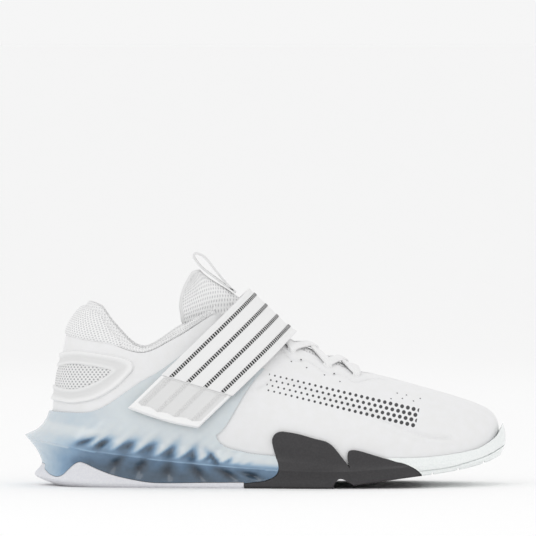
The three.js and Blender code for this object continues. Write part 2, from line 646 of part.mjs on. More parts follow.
// The padded cuff on the topline: a row for some of the ribs, with the place of its top, how far it
// bulges out and in.
const CUFF = table(
  ["rib", "x", "y", "z", "out", "into"],
  [
    [0, 0.1367, 0, 1, 3.2, 1],
    [1, 0.141, 0.19, 0.994, 3.0, 1.2],
    [2, 0.158, 0.35, 0.974, 2.4, 1.4],
    [3, 0.187, 0.44, 0.875, 1.4, 1.5],
    [4, 0.246, 0.49, 0.75, 0.9, 1.5],
    [5, 0.32, 0.47, 0.86, 0.9, 1.5],
    [6, 0.396, 0.35, 0.975, 0.9, 1.2],
  ],
);
const cuffHeight = RIBS[0].topZ * INSTEP_HEIGHT + CUFF_RISE;
// Its section, as shares: how far up its middle and its shoulder are, and how much of the bulge each of
// them and the foot get. Then how much thicker it is than the wall, how far its back lies behind its top,
// and how far down.
const SECTION = {
  middle: 0.45,
  shoulder: 0.85,
  shoulderBulge: 0.75,
  footBulge: 0.25,
  thicker: 0.3,
  back: 0.8,
  down: 0.25,
};
const cuff = Object.fromEntries(
  ["x", "y", "z", "out", "into"].map((key) => [key, curve(CUFF.map((c) => c.rib), CUFF.map((c) => c[key]))]),
);
function makeCuff(grow = 0) {
  const steps = (TOPLINE_END * 2 * STATIONS) / ROUND;
  const sections = Array.from({ length: steps + 1 }, (_, k) => {
    const signed = (1 - (2 * k) / steps) * TOPLINE_END;
    const a = Math.abs(signed);
    const w = signed >= 0 ? a : ROUND - a;
    const t = ribEnd(w);
    const [n, edge] = [normal(w, t), onLast(w, t, 0)];
    const lift = rib(w).getTangent(0.999).multiplyScalar(GAP);
    const out = cuff.out(a);
    const side = signed >= 0 ? -HALF : HALF;
    const top = new THREE.Vector3(cuff.x(a) * LENGTH, side * cuff.y(a), cuff.z(a) * cuffHeight);
    const outerFoot = edge.clone().add(lift).addScaledVector(n, SECTION.footBulge * out);
    const innerFoot = edge.clone().add(lift).addScaledVector(n, -wallAt(w, t));
    const middle = outerFoot.clone().lerp(top, SECTION.middle).addScaledVector(n, out);
    const shoulder = outerFoot.clone().lerp(top, SECTION.shoulder).addScaledVector(n, SECTION.shoulderBulge * out);
    const thick = wallAt(w, t) + SECTION.thicker * out;
    const back = top.clone().addScaledVector(n, -SECTION.back * thick).lerp(innerFoot, SECTION.down);
    const lining = innerFoot.clone().lerp(back, 0.5).addScaledVector(n, -cuff.into(a) - grow);
    innerFoot.addScaledVector(n, -grow);
    const round = new THREE.CatmullRomCurve3([middle, shoulder, top, back, lining], false, "centripetal");
    return [outerFoot, ...round.getPoints(7), innerFoot];
  });
  return bar(sections);
}

// The tongue: across it, shares of a rib below the throat; above it, rows with the middle and the wings
// as shares of LENGTH and of the tongue's height, and the wings' half width as a share of half the
// BALL_WIDTH.
const tongueHeight = INSTEP_HEIGHT + TONGUE_RISE;
const TONGUE_MIDDLE = 0.03 * HALF; // it leans a little to the inner side
const TONGUE_ROWS = 11; // rows of points below the throat
const TONGUE_FRONT_WIDTH = 0.55; // its width at the front, as a share
const TUCK = [0.55, 0.92]; // shares of the throat's half width over which it dips under the upper
const TUCK_FRONT = [1.1, 0.3]; // and the same in ribs before the throat's front
const TONGUE_FRONT = 11;
const TONGUE_TOP_RIB = 7.1;
const TONGUE_TOP = table(
  ["x", "z", "wingX", "wingZ", "wing"],
  [
    [0.44, 0.875, 0.345, 0.735, 0.3],
    [0.421, 0.905, 0.327, 0.8, 0.31],
    [0.402, 0.931, 0.326, 0.865, 0.3],
    [0.381, 0.961, 0.334, 0.925, 0.27],
    [0.364, 0.993, 0.347, 0.979, 0.21],
  ],
);
const TONGUE_WING = 30; // from the ridge to the tongue's edge, below the throat
function makeTongue() {
  const across = [-1, -0.8, -0.55, -0.28, 0, 0.28, 0.55, 0.8, 1];
  const ribOf = (_, k) => lerp(TONGUE_FRONT, TONGUE_TOP_RIB, k / (TONGUE_ROWS - 1));
  const lower = Array.from({ length: TONGUE_ROWS }, ribOf);
  const lowPoint = (a, p, off) => {
    const w = p <= 0 ? a : ROUND - a;
    const spread = TONGUE_WING * lerp(TONGUE_FRONT_WIDTH, 1, smooth(TONGUE_FRONT - a, 0, 1));
    const t = 1 - (Math.abs(p) * spread) / rib(w).getLength();
    const tuck = wallAt(w, t) + 2 * GAP;
    const sunk = tuck * smooth((Math.abs(p) * spread) / THROAT_HALF_WIDTH, ...TUCK);
    const front = tuck * smooth(a, THROAT_FRONT - TUCK_FRONT[0], THROAT_FRONT - TUCK_FRONT[1]);
    return onLast(w, t, -Math.max(GAP, sunk, front) - off);
  };
  const highPoint = (row, p, off) => {
    const turn = (p * Math.PI) / 2;
    const middle = new THREE.Vector3(row.x * LENGTH, TONGUE_MIDDLE, row.z * tongueHeight);
    const wing = new THREE.Vector3(row.wingX * LENGTH, TONGUE_MIDDLE, row.wingZ * tongueHeight);
    const point = wing.lerp(middle, Math.cos(turn));
    point.y += row.wing * HALF * Math.sin(turn);
    const out = new THREE.Vector3(0.55 * Math.cos(turn), Math.sin(turn), 0.83 * Math.cos(turn)).normalize();
    return point.addScaledVector(out, -off);
  };
  const rows = (off) => [
    ...lower.map((a) => across.map((p) => lowPoint(a, p, off))),
    ...TONGUE_TOP.map((row) => across.map((p) => highPoint(row, p, off))),
  ];
  const clear = sheet(rows(0), rows(TONGUE)).subtract(upperWall(GAP)).subtract(makeCuff(GAP));
  return biggest(clear);
}

// The pull loop stands on the front of the tongue, above the strap. Its path goes up, round and back
// down: x as a share of LENGTH, z from the top of the tongue.
const LOOP_PATH = [
  [0.434, -13.4], [0.414, -9.8], [0.398, -6.1], [0.3815, -2.5], [0.3675, 0.9], [0.3565, 4.9],
  [0.3505, 8], [0.354, 9.8], [0.361, 9.4], [0.3715, 7.9], [0.382, 4.6],
  [0.394, -0.2], [0.41, -6], [0.4255, -11.4], [0.438, -14.8],
];
const LOOP_STEPS = 30;
function makeLoop() {
  const points = LOOP_PATH.map(([x, z]) => new THREE.Vector3(x * LENGTH, TONGUE_MIDDLE, tongueHeight + z));
  const path = new THREE.CatmullRomCurve3(points, false, "centripetal");
  const side = new THREE.Vector3(0, LOOP_WIDTH / 2, 0);
  const sections = path.getPoints(LOOP_STEPS).map((p, i, all) => {
    const d = all[Math.min(LOOP_STEPS, i + 1)].clone().sub(all[Math.max(0, i - 1)]).normalize();
    const n = new THREE.Vector3(-d.z, 0, d.x).multiplyScalar(LOOP / 2);
    return [
      p.clone().add(n).sub(side),
      p.clone().add(n).add(side),
      p.clone().sub(n).add(side),
      p.clone().sub(n).sub(side),
    ];
  });
  return bar(sections);
}

// The laces: a bar across the lowest eyelets and a crossing over each space between rows.
const LACE_STEPS = 8;
const LACE_SIDES = 6;
const CROSSING = [0.1, 0.45]; // shares of the way to the eyelet over which the upper lace comes down
function lacePath(fromRib, toRib, high) {
  return Array.from({ length: LACE_STEPS + 1 }, (_, k) => {
    const p = -1 + (2 * k) / LACE_STEPS;
    const a = fromRib + ((toRib - fromRib) * (p + 1)) / 2;
    const w = p <= 0 ? a : ROUND - a;
    const edge = 1 - eyeletShare(w);
    const t = 1 - Math.abs(p) * edge;
    const lift = 2 * GAP + LACE / 2 + high * (1 - smooth(Math.abs(p), ...CROSSING));
    return { point: onLast(w, t, lift), up: normal(w, t) };
  });
}
function lace(path) {
  return bar(
    path.map(({ point, up }, i) => {
      const [before, after] = [path[Math.max(0, i - 1)].point, path[Math.min(LACE_STEPS, i + 1)].point];
      const side = after.clone().sub(before).cross(up).normalize();
      return Array.from({ length: LACE_SIDES }, (_, k) => {
        const turn = (k / LACE_SIDES) * 2 * Math.PI;
        return point
          .clone()
          .addScaledVector(side, (LACE_WIDTH / 2) * Math.cos(turn))
          .addScaledVector(up, (LACE / 2) * Math.sin(turn));
      });
    }),
  );
}
function makeLaces() {
  const bars = [lace(lacePath(eyeletRibs[0], eyeletRibs[0], 0))];
  for (let k = 0; k < LACE_ROWS - 1; k += 1) {
    const flatter = k === LACE_ROWS - 2; // under the strap
    bars.push(lace(lacePath(eyeletRibs[k], eyeletRibs[k + 1], flatter ? -0.6 * GAP : 0)));
    if (!flatter) bars.push(lace(lacePath(eyeletRibs[k + 1], eyeletRibs[k], LACE * 0.8)));
  }
  bars.push(lace(lacePath(eyeletRibs.at(-1), eyeletRibs.at(-1), -GAP)));
  return joined(bars);
}

const INSOLE_EDGE = 0.55; // how far its edge is rounded
function makeInsole() {
  const inset = WALL + 2 * GAP;
  const ringAt = (rise, extra) =>
    places.map((w) => {
      const p = rib(w).getPoint(0).addScaledVector(outward(w), -inset - extra);
      p.z += rise;
      return p;
    });
  return stack([ringAt(GAP, INSOLE_EDGE), ringAt(INSOLE / 2, 0), ringAt(INSOLE, INSOLE_EDGE)]);
}

// The strap lies in planes square to the slope of the instep. Its own axes: over it towards the toe, and
// up along it.
const STRAP_SLOPE = THREE.MathUtils.degToRad(44);
const strapUp = new THREE.Vector3(Math.cos(STRAP_SLOPE), 0, Math.sin(STRAP_SLOPE));
const strapOver = new THREE.Vector3(Math.sin(STRAP_SLOPE), 0, -Math.cos(STRAP_SLOPE));
const STRAP_BACK = 9; // the strap's back edge, over from the ridge behind the heel
const CORE_ABOVE_INSTEP = 32.114; // up from the instep's height on the slope
// Up to a point inside the foot, from which the strap's sections and its ends are measured.
const STRAP_CORE = INSTEP_HEIGHT * Math.sin(STRAP_SLOPE) + CORE_ABOVE_INSTEP;
const STRAP_CROWN = [70.8, 72.3]; // to its underside over the instep, at its back and its front edge
const STRAP_SECTIONS = 4;
const STRAP_TURNS = 48;
const STRAP_STEPS = 24;
const STRAP_SLACK = 0.3; // between the shoe and the strap
const UNDER_STRAP = 2.2; // room for the laces' ends and the clip's wings
// Up to its ends, at its back and its front edge: the moulded tab on the outer side, and the inner side's
// end.
const TAB_LOW = [-31, -7.8];
const TAB_HIGH = [-2.5, 20.5];
const INNER_END = [-32, -14];
const STRAP_EASE = 8; // rounds of softening of its sections
const CLEAR_EASE = 3; // and of what moves them clear of the shoe
const CROWN_FALL = 3; // how fast the rise over the instep dies away to the sides, as a power
const BRIDGING = 900; // rounds of pulling the band straight over hollows
const PATH_STEPS = 400;
const turnOf = (i) => Math.PI * (1.25 - (1.5 * i) / STRAP_TURNS);

const soften = (values, rounds) => {
  const isEnd = (i) => i === 0 || i === values.length - 1;
  const next = values.map((v, i) => (isEnd(i) ? v : (values[i - 1] + 2 * v + values[i + 1]) / 4));
  return rounds > 1 ? soften(next, rounds - 1) : next;
};

// How far the shoe reaches from the strap's core in each direction, in one plane after another.
function strapReach(shoe) {
  const target = new THREE.Mesh(geometryOf(shoe), new THREE.MeshBasicMaterial({ side: THREE.DoubleSide }));
  const ray = new THREE.Raycaster();
  const planes = Array.from({ length: STRAP_SECTIONS + 1 }, (_, k) => k / STRAP_SECTIONS);
  const reach = planes.map((s) => {
    const core = strapOver.clone().multiplyScalar(STRAP_BACK + s * STRAP_WIDTH).addScaledVector(strapUp, STRAP_CORE);
    const far = Array.from({ length: STRAP_TURNS + 1 }, (_, i) => {
      ray.set(core, strapUp.clone().multiplyScalar(Math.sin(turnOf(i))).setY(Math.cos(turnOf(i))));
      return ray.intersectObject(target).at(-1).distance;
    });
    // Below the strap's ends, its sides run straight on down.
    const lowest = lerp(...INNER_END, s);
    for (const step of [-1, 1]) {
      for (let i = STRAP_TURNS / 2; far[i] !== undefined; i += step) {
        const aside = far[i - step] * Math.cos(turnOf(i - step));
        if (Math.sin(turnOf(i)) * far[i] < lowest) far[i] = aside / Math.cos(turnOf(i));
      }
    }
    return far;
  });
  // The band is straight across its width and curves gently: a line through the planes, moved out to clear the shoe.
  const middle = planes.map((s) => s - 0.5);
  const spread = middle.reduce((sum, m) => sum + m * m, 0);
  const turns = [...reach[0].keys()];
  const mean = soften(turns.map((i) => reach.reduce((sum, far) => sum + far[i], 0) / planes.length), STRAP_EASE);
  const lean = (i) => reach.reduce((sum, far, k) => sum + far[i] * middle[k], 0) / spread;
  const tilt = soften(turns.map(lean), STRAP_EASE);
  const short = turns.map((i) => Math.max(...reach.map((far, k) => far[i] - mean[i] - tilt[i] * middle[k])));
  const clear = soften(turns.map((i) => Math.max(...short.slice(Math.max(0, i - 1), i + 2))), CLEAR_EASE);
  const straight = planes.map((_, k) => turns.map((i) => mean[i] + tilt[i] * middle[k] + clear[i] + STRAP_SLACK));
  // Over the tongue it rides on the laces.
  straight.forEach((far, k) => {
    const rise = lerp(...STRAP_CROWN, planes[k]) - far[STRAP_TURNS / 2];
    turns.forEach((i) => {
      const share = Math.max(0, Math.sin(turnOf(i))) ** CROWN_FALL;
      far[i] = Math.max(far[i] + rise * share, reach[k][i] + STRAP_SLACK);
    });
  });
  // Held tight, it bridges the hollows: no point lies below the chord of its neighbours.
  const bend = Math.cos(turnOf(0) - turnOf(1));
  straight.forEach((far) => {
    for (let round = 0; round < BRIDGING; round += 1) {
      for (let i = 1; i < STRAP_TURNS; i += 1) {
        far[i] = Math.max(far[i], (2 * far[i - 1] * far[i + 1] * bend) / (far[i - 1] + far[i + 1]));
      }
    }
  });
  return straight;
}

// The strap's path in each plane, from one height to another: points with the direction out of the shoe.
function strapPaths(reach) {
  return reach.map((far, k) => {
    const over = STRAP_BACK + (k * STRAP_WIDTH) / STRAP_SECTIONS;
    const place = (r, turn) => new THREE.Vector2(r * Math.cos(turn), STRAP_CORE + r * Math.sin(turn));
    const path = new THREE.SplineCurve(far.map((r, i) => place(r, turnOf(i))));
    const heights = path.getPoints(PATH_STEPS).map((p) => p.y - STRAP_CORE);
    const at = (h, inner) => {
      const order = inner ? [...heights.keys()].reverse() : [...heights.keys()];
      const i = order.find((j) => heights[j] >= h);
      const next = i + (inner ? 1 : -1);
      return THREE.MathUtils.mapLinear(h, heights[next], heights[i], next, i) / PATH_STEPS;
    };
    return { over, path, at };
  });
}

const strapPoint = ({ over, path }, t, off, shift = 0) => {
  const [p, d] = [path.getPoint(t), path.getTangent(t)];
  const [y, up] = [p.x + d.y * -off, p.y + d.x * off];
  return strapOver.clone().multiplyScalar(over + shift).addScaledVector(strapUp, up).setY(y);
};

// A layer of the strap, between two ends that run straight across it. Margin is what it is narrower by on
// either edge, bow how far its lower end bulges, and squaring the share of its rows over which a skewed
// end turns square to it.
const WHOLE_BAND = { margin: 0, inner: true, steps: STRAP_STEPS, bow: 0, squaring: 0.3 };
function strapLayer(paths, [fromEnd, toEnd], inside, thickness, settings) {
  const { margin, inner, steps, bow, squaring } = { ...WHOLE_BAND, ...settings };
  const centre = paths[STRAP_SECTIONS / 2];
  const middles = [centre.at(lerp(...fromEnd, 0.5), false), centre.at(lerp(...toEnd, 0.5), inner)];
  const turnsIn = steps * squaring;
  const rows = (off) =>
    Array.from({ length: steps + 1 }, (_, j) =>
      paths.map((section, k) => {
        const s = k / STRAP_SECTIONS;
        const lift = bow * 4 * s * (1 - s);
        const from = section.at(lerp(...fromEnd, s) - lift, false);
        const to = section.at(lerp(...toEnd, s), inner);
        const shift = margin * (2 * s - 1);
        const [skewFrom, skewTo] = [from - middles[0], to - middles[1]];
        const fromStart = skewFrom * Math.max(0, 1 - j / turnsIn);
        const fromFinish = skewTo * Math.max(0, 1 - (steps - j) / turnsIn);
        return strapPoint(section, lerp(...middles, j / steps) + fromStart + fromFinish, off, shift);
      }),
    );
  return sheet(rows(inside + thickness), rows(inside));
}

function makeStrap(shoe) {
  const paths = strapPaths(strapReach(shoe));
  const whole = [TAB_HIGH.map((h) => h + GAP), INNER_END];
  const moulded = { margin: 0.4, inner: false, steps: 6, bow: 2, squaring: 1 };
  return {
    backing: strapLayer(paths, whole, GAP, STRAP_BACKING, { margin: 0.6 }),
    band: strapLayer(paths, whole, 2 * GAP + STRAP_BACKING, STRAP, {}),
    tab: strapLayer(paths, [TAB_LOW, TAB_HIGH], GAP, STRAP_TAB, moulded),
  };
}

const upper = makeUpper();
const { heelRubber, forefoot, toe, clip } = makeSole();
const { frame, mesh } = makeHeelWindow();
const cuffSolid = makeCuff();
const tongue = makeTongue();
const laces = makeLaces();
const pullLoop = makeLoop();
const { backing, band, tab } = makeStrap(joined([lastSolid(UNDER_STRAP), cuffSolid, tongue]));

const shoe = new THREE.Group();
const add = (name, solid, color, roughness) => {
  const material = new THREE.MeshStandardMaterial({ color, roughness, metalness: 0 });
  const piece = new THREE.Mesh(geometryOf(solid), material);
  piece.name = name;
  piece.material.name = name;
  shoe.add(piece);
};
add("upper", upper, "#efefef", 0.5);
add("collar", cuffSolid, "#e6e6e6", 0.9);
add("tongue", tongue, "#e2e2e2", 0.9);
add("pull_loop", pullLoop, "#e4e4e4", 0.8);
add("heel_frame", frame, "#f1f1f1", 0.4);
add("heel_mesh", mesh, "#cfcfcf", 0.9);
add("heel_wedge", clip, "#93aabf", 0.3);
add("outsole_heel", heelRubber, "#ebebed", 0.7);
add("outsole_forefoot", forefoot, "#484648", 0.75);
add("outsole_toe", toe, "#e3e6e4", 0.5);
add("insole", makeInsole(), "#dcdcdc", 0.9);
add("laces", laces, "#f2f2f2", 0.85);
add("strap", band, "#f0f0f0", 0.75);
add("strap_backing", backing, "#e0e0e0", 0.85);
add("strap_tab", tab, "#f3f3f3", 0.4);

const centre = new THREE.Box3().setFromObject(shoe).getCenter(new THREE.Vector3());
shoe.children.forEach((piece) => piece.geometry.translate(-centre.x, -centre.y, 0));

export default shoe;
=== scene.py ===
"""Looks of a right weightlifting shoe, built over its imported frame.

Every piece is worked out in millimetres from the ridge behind the heel, on the same last as the solids, and
is moved to the frame's origin and to metres when it is settled.
"""

import logging
import math
from dataclasses import dataclass
from enum import Enum
from typing import ClassVar

import bmesh
import bpy
import numpy as np
from mathutils import Matrix, Vector


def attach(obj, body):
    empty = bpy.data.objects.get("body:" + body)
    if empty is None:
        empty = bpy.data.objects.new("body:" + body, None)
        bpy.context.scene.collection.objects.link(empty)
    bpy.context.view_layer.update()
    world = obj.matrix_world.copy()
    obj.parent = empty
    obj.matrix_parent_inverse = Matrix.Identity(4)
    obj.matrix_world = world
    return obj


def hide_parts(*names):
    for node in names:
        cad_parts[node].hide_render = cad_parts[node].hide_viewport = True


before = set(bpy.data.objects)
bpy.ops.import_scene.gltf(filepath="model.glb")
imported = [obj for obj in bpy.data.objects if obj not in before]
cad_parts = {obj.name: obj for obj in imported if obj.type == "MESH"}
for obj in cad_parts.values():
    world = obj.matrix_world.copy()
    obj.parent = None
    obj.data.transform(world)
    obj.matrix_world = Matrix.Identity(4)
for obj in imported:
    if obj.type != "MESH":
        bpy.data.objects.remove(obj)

Array = np.ndarray
Object = bpy.types.Object
Material = bpy.types.Material
Node = bpy.types.Node
Socket = bpy.types.NodeSocket
Pairs = tuple[tuple[float, float], ...]

MM = 0.001
CENTRE_X = 150.341
CENTRE_Y = -0.344
GAP = 0.3
ACROSS = 90.0
logging.basicConfig(level=logging.INFO, format="%(message)s")
log = logging.getLogger("shoe")


class Side(Enum):
    """A side of the foot, with the sign of Y there."""

    OUTER = -1
    INNER = 1


class Join(Enum):
    """What is kept where one solid meets another."""

    CUT = "DIFFERENCE"
    KEEP = "INTERSECT"
    ADD = "UNION"


# Curves and the last.


def unit(vectors: Array) -> Array:
    """Vectors of length one."""
    return vectors / np.maximum(np.linalg.norm(vectors, axis=-1, keepdims=True), 1e-9)


def smooth(low: float, high: float, at: Array) -> Array:
    """A soft step from 0 at low to 1 at high."""
    share = np.clip((np.asarray(at, float) - low) / (high - low), 0, 1)
    return share * share * (3 - 2 * share)


class Curve:
    """A smooth curve through points that never swings past them."""

    def __init__(self, knots: Array, values: Array, period: float = 0.0) -> None:
        """Finds the slopes: the weighted harmonic mean of the chords beside a point, and 0 at a peak.

        Args:
            knots: Places of the points, rising.
            values: The curve there.
            period: Where a closed curve begins again, or 0 for one that ends level.
        """
        self.knots = np.asarray(knots, float)
        self.values = np.asarray(values, float)
        self.period = period
        following = np.append(self.knots[1:], self.knots[0] + period)
        self.steps = following - self.knots
        self.steps[-1] = self.steps[-1] if period else 1.0
        rise = (np.roll(self.values, -1) - self.values) / self.steps
        before, short = np.roll(rise, 1), np.roll(self.steps, 1)
        product = np.where(rise * before > 0, rise * before, 1.0)
        weights = (2 * self.steps + short) * rise + (self.steps + 2 * short) * before
        mean = 3 * (short + self.steps) * product / np.where(weights == 0, 1, weights)
        self.slopes = np.where(rise * before > 0, mean, 0.0)
        if not period:
            self.slopes[[0, -1]] = 0.0

    def __call__(self, at: Array) -> Array:
        """The curve's values at some places."""
        at = np.asarray(at, float)
        count = len(self.knots)
        place = np.mod(at, self.period) if self.period else np.clip(at, self.knots[0], self.knots[-1])
        low = np.searchsorted(self.knots, place + 1e-9, side="right") - 1
        low = low if self.period else np.minimum(low, count - 2)
        high = (low + 1) % count
        step = self.steps[low]
        t = (place - self.knots[low]) / step
        blend = t * t * (3 - 2 * t)
        swing = self.slopes[low] * t * (1 - t) ** 2 - self.slopes[high] * t * t * (1 - t)
        return self.values[low] * (1 - blend) + self.values[high] * blend + step * swing


def through(values: Array, at: Array, corners: tuple[int, ...] = ()) -> Array:
    """A smooth curve through rows of values that doesn't swing past them.

    Args:
        values: One row for each of the knots 0, 1, 2 ...
        at: The places wanted, in knots.
        corners: The knots where the curve may turn sharply.

    Returns:
        One row for each place.
    """
    values = np.asarray(values, float)
    chords = np.diff(values, axis=0)
    same = chords[:-1] * chords[1:] > 0
    total = np.where(same, chords[:-1] + chords[1:], 1.0)
    inner = np.where(same, 2 * chords[:-1] * chords[1:] / total, 0.0)
    into = np.concatenate([chords[:1], inner, chords[-1:]])
    leaving = into.copy()
    for corner in corners:
        into[corner] = chords[corner - 1]
        leaving[corner] = chords[corner]
    low = np.clip(np.floor(at).astype(int), 0, len(values) - 2)
    t = (at - low).reshape((-1,) + (1,) * (values.ndim - 1))
    blend = t * t * (3 - 2 * t)
    swing = leaving[low] * t * (1 - t) ** 2 - into[low + 1] * t * t * (1 - t)
    return values[low] * (1 - blend) + values[low + 1] * blend + swing


def spline(points: Array, count: int, closed: bool = False) -> Array:
    """Points spread evenly in knots along a smooth curve through some points.

    Args:
        points: The curve's own points, in two or three dimensions, or rows of them.
        count: How many points to give back.
        closed: Whether the curve comes back to its start, which is then given once.
    """
    points = np.asarray(points, float)
    number = len(points)
    at = np.linspace(0, number if closed else number - 1, count, endpoint=not closed)
    low = np.floor(at).astype(int)
    low = low if closed else np.minimum(low, number - 2)
    t = (at - low).reshape((-1,) + (1,) * (points.ndim - 1))

    def near(shift: int) -> Array:
        """The knots a few places on from each wanted point."""
        index = low + shift
        return points[index % number if closed else np.clip(index, 0, number - 1)]

    a, b, c, d = near(-1), near(0), near(1), near(2)
    return 0.5 * (2 * b + (c - a) * t + (2 * a - 5 * b + 4 * c - d) * t**2 + (3 * b - a - 3 * c + d) * t**3)


def lengths(points: Array) -> Array:
    """How far along a line each of its points is."""
    steps = np.linalg.norm(np.diff(points, axis=0), axis=-1)
    return np.concatenate([np.zeros((1,) + steps.shape[1:]), np.cumsum(steps, axis=0)])


class Last:
    """The foot form that every piece lies on: ribs round the foot, from its edge to the topline or the ridge.

    A place on it is w, the rib, from 0 behind the heel by way of the outer side to 15 at the toe and back
    to 30, and t, the share of the way up the rib.
    """

    LENGTH = 301.0
    HALF = 48.5
    SEAT = 28.0
    INSTEP = 115.0
    ROUND = 30
    TOE = 15
    HALVINGS = 22
    TOPLINE_END = 6
    THROAT_FRONT = 10.5
    THROAT_HALF_WIDTH = 15.0
    WALL = 2.2
    ANKLE_PADDING = 3.0
    CUT_FROM = 0.72
    COLUMNS = (
        "x", "outer", "inner", "seat", "topX", "topZ", "topOuter", "topInner", "lean", "rise",
        "reach", "drop",
    )
    RIBS = (
        (0.058, 0.0, 0.0, 1.0, 0.0858, 0.8165, 0.0, 0.0, 0.05, 0.3, 0.105, -0.36),
        (0.07, 0.24, 0.27, 1.0, 0.094, 0.812, 0.25, 0.26, 0.05, 0.3, 0.1, -0.36),
        (0.105, 0.5, 0.53, 1.0, 0.122, 0.797, 0.42, 0.43, 0.06, 0.3, 0.08, -0.36),
        (0.165, 0.64, 0.67, 1.0, 0.17, 0.779, 0.5, 0.51, 0.08, 0.3, 0.05, -0.36),
        (0.238, 0.69, 0.69, 0.97, 0.242, 0.726, 0.54, 0.54, 0.1, 0.32, 0.05, -0.38),
        (0.315, 0.735, 0.68, 0.92, 0.315, 0.808, 0.52, 0.52, 0.1, 0.34, 0.08, -0.36),
        (0.395, 0.795, 0.69, 0.84, 0.392, 0.93, 0.4, 0.41, 0.09, 0.36, 0.2, -0.25),
        (0.475, 0.875, 0.745, 0.74, 0.455, 1.0, -0.03, 0.03, 0.09, 0.4, 0.5, -0.05),
        (0.555, 0.955, 0.84, 0.63, 0.54, 0.815, -0.03, 0.03, 0.09, 0.42, 0.54, -0.01),
        (0.635, 1.0, 0.94, 0.55, 0.625, 0.706, -0.035, 0.035, 0.085, 0.46, 0.56, 0.0),
        (0.715, 0.985, 1.0, 0.51, 0.692, 0.628, -0.05, 0.05, 0.08, 0.5, 0.56, 0.0),
        (0.795, 0.895, 0.98, 0.51, 0.757, 0.583, -0.075, 0.075, 0.07, 0.5, 0.54, 0.0),
        (0.865, 0.735, 0.895, 0.55, 0.825, 0.533, -0.105, 0.105, 0.07, 0.5, 0.5, -0.02),
        (0.925, 0.49, 0.745, 0.63, 0.877, 0.494, -0.135, 0.135, 0.08, 0.5, 0.46, -0.06),
        (0.962, 0.17, 0.52, 0.71, 0.912, 0.464, -0.155, 0.155, 0.1, 0.5, 0.4, -0.12),
        (0.974, -0.17, 0.17, 0.76, 0.93, 0.447, -0.165, 0.165, 0.12, 0.5, 0.37, -0.17),
    )

    def __init__(self) -> None:
        """Turns the table of ribs into closed curves round the foot."""
        ribs = dict(zip(self.COLUMNS, np.array(self.RIBS).T))
        self.x = self.loop(ribs["x"] * self.LENGTH)
        self.y = self.loop(-ribs["outer"] * self.HALF, ribs["inner"] * self.HALF)
        self.seat = self.loop(ribs["seat"] * self.SEAT)
        self.top_x = self.loop(ribs["topX"] * self.LENGTH)
        self.top_y = self.loop(-ribs["topOuter"] * self.HALF, ribs["topInner"] * self.HALF)
        self.top_z = self.loop(ribs["topZ"] * self.INSTEP)
        self.lean = self.loop(ribs["lean"] * self.HALF)
        self.rise = self.loop(ribs["rise"])
        self.reach = self.loop(ribs["reach"] * self.HALF)
        self.drop = self.loop(ribs["drop"])

    def loop(self, outer: Array, inner: Array | None = None) -> Curve:
        """A closed curve from the values on the outer side and, where they differ, on the inner side."""
        inner = outer if inner is None else inner
        return Curve(np.arange(self.ROUND), np.concatenate([outer, inner[-2:0:-1]]), self.ROUND)

    def along(self, w: Array) -> Array:
        """How many ribs forward of the heel a place is, on either side."""
        return np.minimum(w, self.ROUND - w)

    def around(self, a: Array, side: Side) -> Array:
        """The place that is a ribs forward of the heel on one side."""
        return a if side is Side.OUTER else self.ROUND - np.asarray(a, float)

    def outward(self, w: Array) -> Array:
        """The level direction out of the foot."""
        e = 0.05
        dx = self.x(w + e) - self.x(w - e)
        dy = self.y(w + e) - self.y(w - e)
        return unit(np.stack([dy, -dx, np.zeros_like(dx)], -1))

    def rib(self, w: Array) -> tuple[Array, Array, Array, Array]:
        """The four points that a rib's curve is drawn from."""
        out = self.outward(w)
        foot = np.stack([self.x(w), self.y(w), self.seat(w)], -1)
        top = np.stack([self.top_x(w), self.top_y(w), self.top_z(w)], -1)
        height = top[..., 2] - foot[..., 2]
        lower = foot + out * self.lean(w)[..., None]
        lower[..., 2] += self.rise(w) * height
        upper = top + out * self.reach(w)[..., None]
        upper[..., 2] += self.drop(w) * height
        return foot, lower, upper, top

    def bare(self, w: Array, t: Array) -> Array:
        """Points of the last itself."""
        w, t = np.broadcast_arrays(np.asarray(w, float), np.asarray(t, float))
        a, b, c, d = self.rib(w)
        t = t[..., None]
        s = 1 - t
        return a * s**3 + 3 * b * s * s * t + 3 * c * s * t * t + d * t**3

    def one_sided(self, w: Array, t: Array) -> Array:
        """The outward normal, from this side of the ridge."""
        e = 0.04
        across = self.bare(w + e, t) - self.bare(w - e, t)
        a, b, c, d = self.rib(w)
        u = np.clip(t, 0.001, 0.999)[..., None]
        up = (b - a) * (1 - u) ** 2 + 2 * (c - b) * (1 - u) * u + (d - c) * u * u
        return unit(np.cross(across, up))

    def normal(self, w: Array, t: Array) -> Array:
        """The outward normal, the same from both sides on the ridge."""
        w, t = np.broadcast_arrays(np.asarray(w, float), np.asarray(t, float))
        own = self.one_sided(w, t)
        both = unit(own + self.one_sided(self.ROUND - w, t))
        ridge = (t > 0.999) & (self.along(w) >= self.TOPLINE_END + 1)
        return np.where(ridge[..., None], both, own)

    def point(self, w: Array, t: Array, off: Array | float = 0.0) -> Array:
        """Points at a height over the last."""
        return self.bare(w, t) + self.normal(w, t) * np.asarray(off, float)[..., None]

    def share_at(self, w: Array, z: Array) -> Array:
        """The share up each rib at which it reaches a height."""
        w, z = np.broadcast_arrays(np.asarray(w, float), np.asarray(z, float))
        a, b, c, d = (p[..., 2] for p in self.rib(w))
        low, high = np.zeros(w.shape), np.ones(w.shape)
        for _ in range(self.HALVINGS):
            t = (low + high) / 2
            s = 1 - t
            below = a * s**3 + 3 * b * s * s * t + 3 * c * s * t * t + d * t**3 < z
            low, high = np.where(below, t, low), np.where(below, high, t)
        return low

    def over(self, w: Array, z: Array, off: Array | float = 0.0) -> Array:
        """Points at a height over the ground and a height over the last."""
        return self.point(w, self.share_at(w, z), off)

